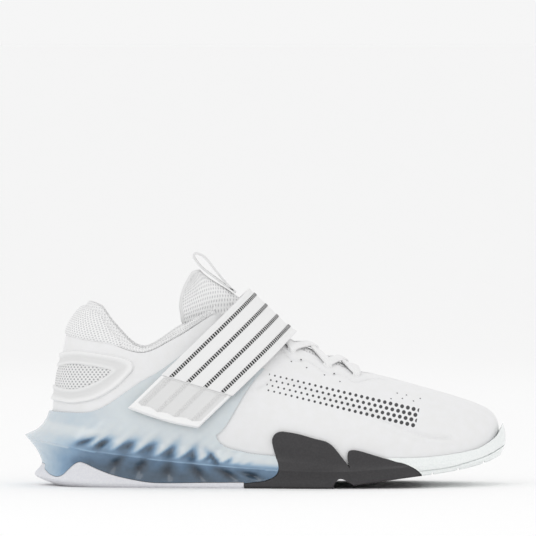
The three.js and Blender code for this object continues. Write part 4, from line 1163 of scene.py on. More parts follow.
@dataclass
class Collar:
    """The padded collar: a knitted roll round the topline and the mesh pad behind the heel."""

    height: float = 115.2
    columns: int = 300
    around: int = 40
    seam: float = 4.6
    pad_end: float = 3.45
    pad_bulge: float = 2.6
    rows: tuple[tuple[float, ...], ...] = (
        (0, 0.1367, 0.0, 1.0, 3.2, 1.0),
        (1, 0.141, 0.19, 0.994, 3.0, 1.2),
        (2, 0.158, 0.35, 0.974, 2.4, 1.4),
        (3, 0.187, 0.44, 0.875, 1.4, 1.5),
        (4, 0.246, 0.49, 0.75, 0.9, 1.5),
        (5, 0.32, 0.47, 0.86, 0.9, 1.5),
        (6, 0.396, 0.35, 0.975, 0.9, 1.2),
    )

    def section(self, signed: Array, slim: float) -> list[Array]:
        """The section's own points at some places, counted in ribs from the back, above 0 on the outer side.

        Args:
            signed: The places.
            slim: How much is left out of its outer side, for the pad.
        """
        table = np.array(self.rows).T
        a = np.abs(signed)
        x, y, z, out, into = (Curve(table[0], column)(a) for column in table[1:])
        w = np.where(signed >= 0, a, LAST.ROUND - a)
        t = np.ones_like(w)
        edge, n = LAST.bare(w, t), LAST.normal(w, t)
        foot, lower, upper, top = LAST.rib(w)
        edge = edge + unit(top - upper) * GAP
        wall = LAST.wall(w, t)
        crest = np.stack([x * LAST.LENGTH, np.where(signed >= 0, -1, 1) * y * LAST.HALF, z * self.height], -1)
        bulge = (out - slim * smooth(0, 1, (3.9 - a) / 0.9))[:, None]
        outer_foot = edge + n * (0.25 * bulge - 0.5)
        inner_foot = edge - n * wall[:, None]
        middle = outer_foot * 0.55 + crest * 0.45 + n * bulge
        shoulder = outer_foot * 0.15 + crest * 0.85 + n * 0.75 * bulge
        thick = (wall + out * 0.3)[:, None]
        back = (crest - n * 0.8 * thick) * 0.75 + inner_foot * 0.25
        lining = (inner_foot + back) / 2 - n * into[:, None]
        return [outer_foot, middle, shoulder, crest, back, lining, inner_foot]

    def build(self, knit: Material, mesh: Material) -> None:
        """The roll, then the pad on it."""
        signed = np.linspace(6, -6, self.columns)
        ring = spline(np.stack(self.section(signed, 1.5)), self.around, closed=True)
        points = np.concatenate([ring, ring[:1]])
        run = lengths(points[12])
        piece = Skin(points).chart(run[None, :], lengths(points))
        settle(piece.sew("collar_roll", closed=True), knit, "collar", padding=0.8)
        self.pad(mesh)

    def pad(self, finish: Material) -> None:
        """The pad: a pillow over the roll's outer side, from the upper's edge to the seam."""
        signed = np.linspace(self.pad_end, -self.pad_end, 150)
        ring = spline(np.stack(self.section(signed, 1.5)), 141, closed=True)
        outer = ring[: 20 * 3 + 1]
        far = lengths(outer)
        height = far[-1] - self.seam
        share = np.linspace(0, 1, 44)
        points = np.empty((len(share), len(signed), 3))
        for column in range(len(signed)):
            at = share * height[column]
            for axis in range(3):
                points[:, column, axis] = np.interp(at, far[:, column], outer[:, column, axis])
        across = np.gradient(points, axis=1)
        up = np.gradient(points, axis=0)
        n = unit(np.cross(across, up))
        ends = np.sqrt(np.clip(1 - (np.abs(signed) / self.pad_end) ** 8, 0, 1))
        pillow = np.sqrt(np.clip(1 - np.abs(2 * share - 1) ** 3.2, 0, 1))
        lift = self.pad_bulge * pillow[:, None] * ends[None, :]
        points = points - n * (lift - 0.25)[..., None]
        points[..., 2] -= 0.6 * (1 - share)[:, None] * ends[None, :]
        run = lengths(points[20])
        skin = Skin(points).chart((run - run[75])[None, :], lengths(points))
        piece = skin.sew("heel_pad", turned=True)
        thicken(piece, 0.9)
        settle(piece, finish, "collar", padding=0.7)


@dataclass
class Tongue:
    """The mesh tongue and the ribbon loop on it."""

    height: float = 135.0
    front: float = 11.0
    top_rib: float = 7.1
    spread: float = 30.0
    thickness: float = 4.0
    middle_y: float = 0.03
    free_from: int = 84
    rows: tuple[tuple[float, ...], ...] = (
        (0.44, 0.875, 0.345, 0.735, 0.3),
        (0.421, 0.905, 0.327, 0.8, 0.31),
        (0.402, 0.931, 0.326, 0.865, 0.3),
        (0.381, 0.961, 0.334, 0.925, 0.27),
        (0.364, 0.993, 0.347, 0.979, 0.21),
    )
    loop_path: Pairs = (
        (0.434, 121.6), (0.414, 125.2), (0.398, 128.9), (0.3815, 132.5), (0.3675, 135.9), (0.3565, 139.9),
        (0.3505, 143),
        (0.354, 144.8), (0.361, 144.4), (0.3715, 142.9), (0.382, 139.6), (0.394, 134.8), (0.41, 129),
        (0.4255, 123.6),
        (0.438, 120.2),
    )

    def low(self, a: Array, p: Array) -> Array:
        """The part under the laces, at some ribs and at shares from the middle to either wing."""
        a, p = np.broadcast_arrays(a, p)
        w = np.where(p <= 0, a, LAST.ROUND - a)
        spread = self.spread * (0.55 + 0.45 * smooth(0, 1, self.front - a))
        t = 1 - np.abs(p) * spread / LAST.length(w)
        tuck = LAST.wall(w, t) + 2 * GAP
        half = LAST.THROAT_HALF_WIDTH
        sunk = tuck * smooth(0.55 * half, 0.92 * half, np.abs(p) * spread)
        front = tuck * smooth(LAST.THROAT_FRONT - 1.1, LAST.THROAT_FRONT - 0.3, a)
        return LAST.point(w, t, -np.maximum(GAP, np.maximum(sunk, front)))

    def high(self, p: Array) -> Array:
        """The part above the throat: its rows, at shares from the middle to either wing."""
        out = []
        for x, z, wing_x, wing_z, wing in self.rows:
            turn = p * math.pi / 2
            crest = np.array([x * LAST.LENGTH, self.middle_y * LAST.HALF, z * self.height])
            edge = np.array([wing_x * LAST.LENGTH, self.middle_y * LAST.HALF, wing_z * self.height])
            row = edge + (crest - edge) * np.cos(turn)[:, None]
            row[:, 1] += wing * LAST.HALF * np.sin(turn)
            out.append(row)
        return np.stack(out)

    def build(self, mesh: Material, ribbon: Material) -> None:
        """The tongue, then its loop."""
        p = np.linspace(-1, 1, 61)
        a = np.linspace(self.front, self.top_rib, 12)
        rows = np.concatenate([self.low(a[:, None], p[None]), self.high(p)])
        points = spline(rows, 110)
        across = lengths(points.transpose(1, 0, 2)).T
        skin = Skin(points).chart(across - across[:, 30:31], lengths(points))
        piece = skin.sew("tongue_mesh")
        thicken(piece, self.thickness * 0.8)
        soften_rims(piece, 1.2, 50, 3)
        settle(piece, mesh, "tongue", padding=0.6)
        self.bind(points, ribbon)
        self.loop(ribbon)

    def bind(self, points: Array, finish: Material) -> None:
        """The tape that binds the tongue's free edge."""
        inwards = -unit(np.cross(np.gradient(points, axis=1), np.gradient(points, axis=0)))
        core = points + inwards * 0.4 * self.thickness
        start = self.free_from
        rim = [(core[start:-1, 0], inwards[start:-1, 0]), (core[-1], inwards[-1])]
        rim.append((core[start:-1, -1][::-1], inwards[start:-1, -1][::-1]))
        middle, up = (np.concatenate(part) for part in zip(*rim))
        settle(cord("tongue_binding", middle, up, 2.6, 0.92 * self.thickness), finish, "tongue")

    def loop(self, finish: Material) -> None:
        """The ribbon loop."""
        path = spline([(x * LAST.LENGTH, z) for x, z in self.loop_path], 90)
        across = np.linspace(-4.5, 4.5, 13)
        y = self.middle_y * LAST.HALF + across
        rows = np.stack(np.broadcast_arrays(path[:, :1], y, path[:, 1:]), -1)
        piece = Skin(rows).chart(across[None, :], lengths(path)[:, None]).sew("pull_loop_ribbon")
        thicken(piece, 1.3, offset=0.0)
        soften_rims(piece, 0.3)
        settle(piece, finish, "pull_loop")


@dataclass
class Sole:
    """The side of the sole at some of the ribs, and the pieces that it is parted into."""

    FLARE = 17.2
    RIDGE = 31.4
    SPRING = 16.6
    OUTSOLE = 3.0
    COLUMNS = (
        "rib", "foot", "skirt", "skirtZ", "waist", "waistZ", "under", "underZ", "ridge", "ridgeZ", "cove",
        "coveZ", "wall", "wallZ", "rim", "rimZ",
    )
    FLANKS = (
        (0, -0.14, 0.66, 0.22, 0.4, 0.44, 0.54, 0.66, 1.0, 1.0, 0.46, 1.15, 0.19, 1.36, 0.14, 1.46),
        (1.5, 0.05, 0.5, 0.15, 0.36, 0.4, 0.46, 0.6, 0.84, 0.9, 0.42, 1.08, 0.17, 1.32, 0.12, 1.47),
        (3, 0.2, 0.38, 0.1, 0.3, 0.34, 0.36, 0.5, 0.62, 0.69, 0.32, 0.9, 0.14, 1.2, 0.076, 1.44),
        (5, 0.26, 0.35, 0.06, 0.32, 0.22, 0.36, 0.36, 0.52, 0.52, 0.29, 0.7, 0.13, 0.95, 0.076, 1.22),
        (7, 0.3, 0.36, 0.05, 0.35, 0.16, 0.38, 0.27, 0.45, 0.395, 0.28, 0.5, 0.15, 0.64, 0.076, 0.83),
        (9, 0.3, 0.36, 0.05, 0.36, 0.15, 0.38, 0.25, 0.42, 0.335, 0.24, 0.42, 0.14, 0.5, 0.11, 0.6),
        (11, 0.26, 0.31, 0.26, 0.32, 0.31, 0.33, 0.37, 0.34, 0.43, 0.25, 0.47, 0.17, 0.54, 0.12, 0.6),
        (13, 0.2, 0.28, 0.44, 0.31, 0.48, 0.32, 0.52, 0.31, 0.57, 0.27, 0.62, 0.22, 0.68, 0.16, 0.74),
        (14, 0.12, 0.27, 0.55, 0.32, 0.6, 0.34, 0.66, 0.33, 0.73, 0.29, 0.8, 0.24, 0.88, 0.18, 0.98),
        (15, 0.02, 0.27, 0.61, 0.34, 0.7, 0.34, 0.79, 0.31, 0.9, 0.26, 1.02, 0.21, 1.13, 0.18, 1.23),
    )
    GROUND = (
        (-0.1, 0), (0.6, 0), (0.64, 0.01), (0.69, 0.14), (0.79, 0.39), (0.866, 0.56), (0.925, 0.745),
        (0.977, 1.0),
        (1.1, 1.6),
    )
    HEEL_EDGE = (
        (-0.02, 13.7), (0.0366, 13.9), (0.042, 10.6), (0.05, 8), (0.06, 6.6), (0.069, 6.2), (0.08, 7.4),
        (0.092, 10.8),
        (0.104, 14.1), (0.115, 15.6), (0.127, 14.8), (0.147, 12), (0.171, 9.1), (0.195, 6.9), (0.229, 4.7),
        (0.262, 3.2),
        (0.3, 2.9), (0.373, 3.3), (0.4552, 3.6),
    )
    HEEL_END = 0.4552
    LOBE_BACK = (
        (0.4583, 2.9), (0.498, 4.4), (0.5188, 7.3), (0.5267, 11.1), (0.5262, 15.4), (0.5205, 20.1),
        (0.5149, 25.9),
        (0.5132, 30.2), (0.5188, 33.6), (0.53, 35.2), (0.5458, 34.9), (0.5697, 33.6), (0.6014, 30.9),
        (0.6237, 29.2),
        (0.638, 26.4), (0.649, 22.5), (0.665, 16.3),
    )
    LOBE_FRONT = (
        (0.6745, 12.4), (0.669, 17.2), (0.6694, 22.1), (0.6758, 23.8), (0.6916, 23.5), (0.7186, 21.1),
        (0.7441, 18.7),
        (0.768, 16.3), (0.7821, 15.4), (0.7981, 13.4), (0.8108, 11.1), (0.8233, 7.5),
    )
    LOBE_INNER = (
        (0.4583, 2.9), (0.498, 4.4), (0.5188, 7.3), (0.531, 12), (0.545, 16.5), (0.57, 19.5), (0.62, 21),
        (0.68, 20.6),
        (0.735, 18.4), (0.7821, 15.4), (0.7981, 13.4), (0.8108, 11.1), (0.8233, 7.5),
    )
    FOREFOOT_END = 0.827
    WING_TOP = (
        (-0.02, 46.8), (0.062, 46.4), (0.1, 46.2), (0.137, 46.8), (0.171, 51), (0.202, 57.3),
        (0.241, 65.4), (0.2727, 70.7),
        (0.3045, 77.4), (0.345, 86), (0.37, 90),
    )
    WING_FRONT = (
        (0.498, 73.8), (0.464, 62), (0.4205, 40.2), (0.4048, 34.5), (0.3984, 32.6), (0.403, 28.8),
        (0.4158, 25.8),
        (0.433, 24), (0.449, 23), (0.474, 21.4), (0.53, 19.9), (0.565, 19.2),
    )
    RIDGE_LINE = (
        (0, 31.1), (13, 27.1), (27.5, 24.7), (42, 22.5), (61, 20.1), (88, 16.6), (103, 15.4), (135, 12.5),
        (157, 11.1),
    )
    POCKETS = (
        (37.0, 28.2, 5.6, 1.5, 20), (49.0, 26.8, 5.4, 2.0, 30), (65.0, 25.6, 5.2, 2.3, 38),
        (78.6, 23.9, 5.0, 2.4, 44),
        (91.2, 21.8, 4.8, 2.4, 50), (104.8, 20.0, 4.0, 2.6, 66), (118.0, 18.2, 4.6, 1.8, 130),
        (57.2, 15.2, 5.2, 2.4, 40), (72.2, 12.4, 5.2, 2.6, 50), (89.7, 10.4, 4.4, 3.0, 82),
        (108.4, 9.4, 5.4, 2.6, 135),
        (127.0, 8.6, 6.0, 2.0, 155), (142.0, 8.0, 5.0, 1.4, 165),
    )
    GROOVES = (
        (0.12, 1.4, 3), (0.18, 1.4, 3), (0.24, 1.4, 3), (0.3, 1.4, 3), (0.52, 1.6, 2.4), (0.57, 1.6, 2.4),
        (0.615, 1.6, 2.4), (0.72, 1.8, 2.4), (0.77, 1.8, 2.4),
    )
    PIT_DEPTH = 2.6
    FLUTE_DEPTH = 0.35
    NOTCH = (
        (0.638, -5), (0.6405, 2.4), (0.645, 4.6), (0.651, 6), (0.658, 6), (0.668, 4.6), (0.684, 1.8),
        (0.69, -5),
    )
    TICKS = ((0.844, 1.1, 1.2), (0.898, 1.2, 1.2), (0.951, 1.3, 1.2))
    TREAD_EDGE = 5.0
    TOE_LINE = (
        (244, 10.4), (256, 11.6), (264, 12.6), (271.4, 14.3), (285, 18), (292.7, 21.1), (300, 24.9),
        (310, 29.5),
    )

    columns: int = 400
    inner_columns: int = 96
    film: float = 1.0
    flap: float = 1.8

    def ground(self, x: Array) -> Array:
        """The underside's height along the shoe."""
        table = np.array(self.GROUND).T
        return Curve(table[0] * LAST.LENGTH, table[1] * self.SPRING)(x)

    def ridge(self, x: Array) -> Array:
        """The height of the clip's ridge along the shoe."""
        table = np.array(self.RIDGE_LINE).T
        return np.interp(x, table[0], table[1])

    def hollows(self, points: Array) -> Array:
        """How deep the clip's pockets and flutes are at some points, from 0 to 1."""
        x, z = points[..., 0], points[..., 2]
        deep = np.zeros(x.shape)
        for px, pz, long, high, slant in self.POCKETS:
            turn = math.radians(slant)
            u = (x - px) * math.cos(turn) + (z - pz) * math.sin(turn)
            v = -(x - px) * math.sin(turn) + (z - pz) * math.cos(turn)
            tail = np.where(u > 0, long * 1.5, long)
            deep = np.maximum(deep, np.exp(-(((u / tail) ** 2 + (v / (1.15 * high)) ** 2) ** 0.95)))
        return deep

    def flutes(self, points: Array) -> Array:
        """Soft slanted waves above the ridge, from -1 to 1, fading out upwards."""
        x, z = points[..., 0], points[..., 2]
        up = z - self.ridge(x)
        slanted = x - 0.9 * up
        wave = np.sin(2 * math.pi * slanted / 6.8) * 0.6 + np.sin(2 * math.pi * slanted / 13.6 + 0.8) * 0.6
        wave = wave * smooth(1, 4, up) * (1 - smooth(10, 24, up))
        return wave * smooth(30, 48, x) * (1 - smooth(120, 150, x))

    def tint_and_painted_shade(self, points: Array) -> Array:
        """How dark and blue the clip is painted at some points, from 0, clear, to 1: its blue fade, with
        painted shade and a painted highlight.
        """
        x, z = points[..., 0], points[..., 2]
        up = z - self.ridge(x)
        fade = 9.5 - 5.0 * smooth(60, 150, x)
        streaked = up - 2.4 * self.flutes(points)
        above = 0.68 - 0.56 * smooth(0.15 * fade, 1.15 * fade, streaked)
        # A painted highlight along the ridge.
        above = above - 0.16 * np.exp(-((up / 0.5) ** 2))
        above = above - 0.2 * (1 - smooth(8, 40, x)) * (1 - smooth(2, 9, up))
        # Darker below the ridge and more so towards the bottom: painted shade under the ridge.
        below = 0.72 + 0.14 * smooth(0, 9, -up)
        shade = np.where(up >= 0, above, below)
        heel = smooth(4, 46, x)
        shade = shade * (0.3 + 0.7 * heel) + 0.1 * (1 - heel)
        heel_film = 0.27 * (1 - smooth(30, 85, x)) * smooth(9, 16, up)
        shade = np.maximum(shade, heel_film)
        # Painted shade and highlight along the flutes.
        shade = shade + 0.06 * self.flutes(points)
        # Painted shade in the pockets, weaker at the back of the heel.
        deep = 0.9 * self.hollows(points) * (0.45 + 0.55 * heel)
        return np.clip(shade * (1 - deep) + deep, 0, 1)

    def form(
        self,
        name: str,
        rise: float = 0.0,
        cover: float = 0.0,
        inset: float = 0.0,
        bottom: float = 0.0,
        pits: bool = False,
    ) -> Object:
        """The sole as one closed form, before it is parted.

        Args:
            name: The form's name.
            rise: How high it goes on up the last past its rim, or 0.
            cover: How thick it is there.
            inset: How far its side is moved in.
            bottom: How far its underside is lifted.
            pits: Whether its side has the clip's pockets and flutes.
        """
        w = LAST.stations(self.inner_columns if inset else self.columns)
        a = LAST.along(w)
        table = dict(zip(self.COLUMNS, np.array(self.FLANKS, float).T))

        def flank(key: str) -> Array:
            """One column of the table, at every station."""
            unit_size = self.RIDGE if key.endswith("Z") else self.FLARE
            return Curve(table["rib"], table[key] * unit_size)(a)

        steps = ("skirt", "waist", "under", "ridge", "cove", "wall", "rim")
        heights = [0 * a] + [flank(step + "Z") for step in steps]
        widths = [flank("foot")] + [flank(step) for step in steps]
        knots = [0.0, 1.0, 2.0, 3.0, 4.0, 5.0, 6.0, 7.0]
        if rise:
            ceiling = LAST.top_z(w) - 2.0
            for step in (7.0, 16.0, 28.0, rise - heights[7]):
                heights.append(np.minimum(heights[7] + step, ceiling))
                widths.append(0 * a + cover)
            knots += [8.0, 9.0, 10.0, 11.0]
        fine = [np.linspace(0, 1, 9)[:-1], np.linspace(1, 4, 28)[:-1], np.linspace(4, 7, 30)]
        if rise:
            fine.append(np.linspace(7, 11, 40)[1:])
        q = np.concatenate(fine)
        z = through(np.stack(heights), q, (4,))
        off = through(np.stack(widths), q, (4,))
        base = LAST.bare(w[None], LAST.share_at(w[None], z))
        points = base + LAST.outward(w)[None] * (off - inset)[..., None]
        floor = self.ground(points[..., 0]) + bottom
        lift = np.interp(q, [0, 1, 2], [0.0, 0.8, 1.0])[:, None]
        points[..., 2] = np.where(q[:, None] <= 0, floor, np.maximum(z, floor + lift))
        if pits:
            inward = self.PIT_DEPTH * self.hollows(points) + self.FLUTE_DEPTH * self.flutes(points)
            points = points - LAST.outward(w)[None] * inward[..., None]
        under, over = lids(points, np.array([0.5, 1.0]))
        under[..., 2] = self.ground(under[..., 0]) + bottom
        return Skin(np.concatenate([under, points, over])).sew(name, closed=True)

    def last_form(self, off: float, below: float = 0.0) -> Object:
        """The filled last, grown by off."""
        w = LAST.stations(self.columns)
        t = np.linspace(0, 1, 60)[:, None]
        points = LAST.point(w[None], t, np.full((60, len(w)), off))
        points[0, :, 2] -= below
        under, over = lids(points, np.array([0.5, 1.0]))
        return Skin(np.concatenate([under, points, over])).sew("last", closed=True)

    def millimetres(
        self, points: Pairs, dx: float = 0.0, dz: float = 0.0
    ) -> list[tuple[float, float]]:
        """Points of the side view in millimetres, moved a little."""
        return [(x * LAST.LENGTH + dx, z + dz) for x, z in points]

    def curved(self, points: list[tuple[float, float]], count: int = 80) -> list[tuple[float, float]]:
        """A smooth line through points of the side view."""
        return [tuple(p) for p in spline(points, count)]

    def heel_region(self, grow: float) -> Object:
        """The solid that holds the heel's rubber."""
        end = self.HEEL_END * LAST.LENGTH + grow - GAP / 2
        edge = self.curved(self.millimetres(self.HEEL_EDGE[:-1], 0, grow), 160)
        return prism([(-9, -5), *edge, (end, 3.6 + grow), (end, -5)])

    def forefoot_region(self, grow: float) -> Object:
        """The solid that holds the forefoot's rubber, with its flaps on the outer side."""
        start = self.HEEL_END * LAST.LENGTH + GAP / 2 - grow
        end = self.FOREFOOT_END * LAST.LENGTH + grow
        begin = [(start, -5), (start, 2.9 + grow)]
        back = self.curved(
            self.millimetres(self.LOBE_BACK[1:8], -grow, grow)
            + self.millimetres(self.LOBE_BACK[8:], 0, grow),
            90,
        )
        front = self.curved(
            self.millimetres(self.LOBE_FRONT[:4], 2 * grow, grow)
            + self.millimetres(self.LOBE_FRONT[4:], grow, grow),
            70,
        )
        inner = self.curved(
            self.millimetres(self.LOBE_INNER[1:5], -grow, grow)
            + self.millimetres(self.LOBE_INNER[5:], grow, grow),
            90,
        )
        region = prism([*begin, *back, *front, (end, -5)], -90, 0)
        return combine(region, prism([*begin, *inner, (end, -5)], -1, 90), Join.ADD)

    def tread(self) -> Object:
        """The grooves under the sole."""
        def box(x: float, depth: float, width: float) -> Object:
            """One groove across the sole."""
            middle = x * LAST.LENGTH
            z = float(self.ground(np.array(middle))) + depth
            low, high = middle - width / 2, middle + width / 2
            return prism([(low, -5), (high, -5), (high, z), (low, z)])

        grooves = box(*self.GROOVES[0])
        for groove in self.GROOVES[1:]:
            combine(grooves, box(*groove), Join.ADD)
        combine(grooves, self.form("inner_sole", inset=self.TREAD_EDGE, bottom=-self.OUTSOLE), Join.KEEP)
        notch = self.millimetres(self.NOTCH)
        flex = [notch[0], *self.curved(notch[1:-1], 24), notch[-1]]
        combine(grooves, prism(flex), Join.ADD)
        for tick in self.TICKS:
            combine(grooves, box(*tick), Join.ADD)
        return grooves

    def toe_line(self) -> Object:
        """The thin groove round the toe, over the tread's layer."""
        line = spline(np.array(self.TOE_LINE), 60)
        half = np.array([0.0, 0.3])
        band = prism(np.concatenate([line - half, (line + half)[::-1]]))
        return combine(band, self.form("inner_toe", inset=0.8, bottom=-self.OUTSOLE), Join.CUT)

    def build(self, clear: Material, white: Material, grey: Material, toe: Material) -> None:
        """Parts the form into the clip, the heel's and forefoot's rubber and the toe's."""
        last = self.last_form(GAP, GAP)
        grooves = self.tread()
        self.clip(last, clear)
        heel = combine(self.form("heel_rubber"), self.heel_region(0), Join.KEEP)
        combine(heel, self.form("core", inset=self.OUTSOLE, bottom=self.OUTSOLE), Join.CUT)
        settle(combine(heel, grooves, Join.CUT, True), white, "outsole_heel")
        fore = self.form("forefoot_rubber", rise=60, cover=self.flap + GAP)
        fore = combine(fore, self.forefoot_region(0), Join.KEEP)
        combine(fore, last, Join.CUT, True)
        settle(combine(fore, grooves, Join.CUT, True), grey, "outsole_forefoot")
        cap = combine(self.form("toe_rubber"), last, Join.CUT, True)
        combine(cap, self.forefoot_region(GAP), Join.CUT)
        front = 0.74 * LAST.LENGTH
        combine(cap, prism([(front, -10), (320, -10), (320, 60), (front, 60)]), Join.KEEP)
        combine(cap, self.toe_line(), Join.CUT)
        settle(combine(cap, grooves, Join.CUT), toe, "outsole_toe")
        bpy.data.objects.remove(last)

    def clip(self, last: Object, finish: Material) -> None:
        """The heel clip with its wings up the sides."""
        piece = self.form("heel_clip", rise=93, cover=self.film + GAP, pits=True)
        combine(piece, last, Join.CUT, True)
        combine(piece, self.forefoot_region(GAP), Join.CUT)
        skirt = self.form("core", inset=self.OUTSOLE + GAP, bottom=self.OUTSOLE + GAP)
        combine(piece, combine(self.heel_region(GAP), skirt, Join.CUT), Join.CUT)
        top = self.curved(self.millimetres(self.WING_TOP), 110)
        front = self.curved(self.millimetres(self.WING_FRONT), 110)
        outline = [(-9, -10), *top, (0.47 * LAST.LENGTH, 76), *front, (0.565 * LAST.LENGTH, -10)]
        combine(piece, prism(outline), Join.KEEP)
        points = read_places(piece.data)
        # The depth mark holds the blue fade, with painted shade and a painted highlight.
        layer = piece.data.attributes.new("depth", "FLOAT", "POINT")
        layer.data.foreach_set("value", self.tint_and_painted_shade(points))
        settle(piece, finish, "heel_wedge", angle=32)


@dataclass
class Laces:
    """Flat laces: a bar over the lowest eyelets and crossings above it, all down through their eyelets."""

    upper: Upper
    width: float = 6.0
    thickness: float = 2.0
    past: float = 0.13
    plunge: float = 4.2
    tail: float = 1.6

    def path(self, start: float, end: float, high: float) -> tuple[Array, Array]:
        """The middle of a lace over the throat, and the direction out of the shoe there.

        Args:
            start: The rib of its outer eyelet.
            end: The rib of its inner eyelet.
            high: How much higher it runs in the middle, over the other lace.
        """
        inside = np.linspace(-1, 1, 41)
        dive = np.linspace(0, 1, 9)[1:]
        past = self.past * np.sin(dive * math.pi / 2)
        p = np.concatenate([-1 - past[::-1], inside, 1 + past])
        sink = np.concatenate([dive[::-1], 0 * inside, dive])
        a = start + (end - start) * (p + 1) / 2
        w = np.where(p <= 0, a, LAST.ROUND - a)
        t = 1 - np.abs(p) * (1 - self.upper.eyelet_share(w))
        lift = 2 * GAP + self.thickness / 2 + high * (1 - smooth(0.1, 0.45, np.abs(p)))
        lift = lift - self.plunge * (1 - np.cos(sink * math.pi / 2)) - self.tail * sink**3
        return LAST.point(w, t, lift), LAST.normal(w, t)

    def strand(self, number: int, path: tuple[Array, Array], finish: Material) -> None:
        """One flat lace along a path."""
        middle, up = path
        share = np.abs(np.linspace(-1, 1, len(middle)))
        width = self.width * (1 - 0.3 * smooth(0.62, 0.85, share))
        settle(cord(f"lace_{number}", middle, up, width, self.thickness), finish, "laces", angle=60)

    def build(self, finish: Material) -> None:
        """Every bar and crossing."""
        ribs = self.upper.eyelets()
        paths = [self.path(ribs[0], ribs[0], 0.0)]
        for k in range(len(ribs) - 1):
            hidden = k == len(ribs) - 2
            paths.append(self.path(ribs[k], ribs[k + 1], -0.18 if hidden else 0.0))
            if not hidden:
                paths.append(self.path(ribs[k + 1], ribs[k], 1.3))
        paths.append(self.path(ribs[-1], ribs[-1], -0.3))
        for number, path in enumerate(paths, 1):
            self.strand(number, path, finish)


@dataclass
class Insole:
    """The sock that covers the foot bed: its rings, as heights and insets, and how far it is dished."""

    rings: Pairs = ((0.3, 0.6), (1.0, 0.1), (2.4, 0.0), (3.4, 0.2), (3.9, 0.8), (3.9, 2.0))
    dish: float = 0.9

    def build(self, finish: Material) -> None:
        """A thin, slightly dished cushion."""
        w = LAST.stations(240)
        base, out = LAST.bare(w, np.zeros(len(w))), LAST.outward(w)
        inset = LAST.WALL + 2 * GAP
        up = np.array([0.0, 0.0, 1.0])
        rings = np.stack([base - out * (inset + extra) + up * rise for rise, extra in self.rings])
        share = np.linspace(0, 1, 14)[1:]
        under, over = lids(rings, share)
        over[..., 2] -= self.dish * np.sin(share * math.pi / 2)[:, None]
        points = np.concatenate([under, rings, over])
        skin = Skin(points).chart(points[..., 0], points[..., 1])
        settle(skin.sew("insole_sock", closed=True), finish, "insole")


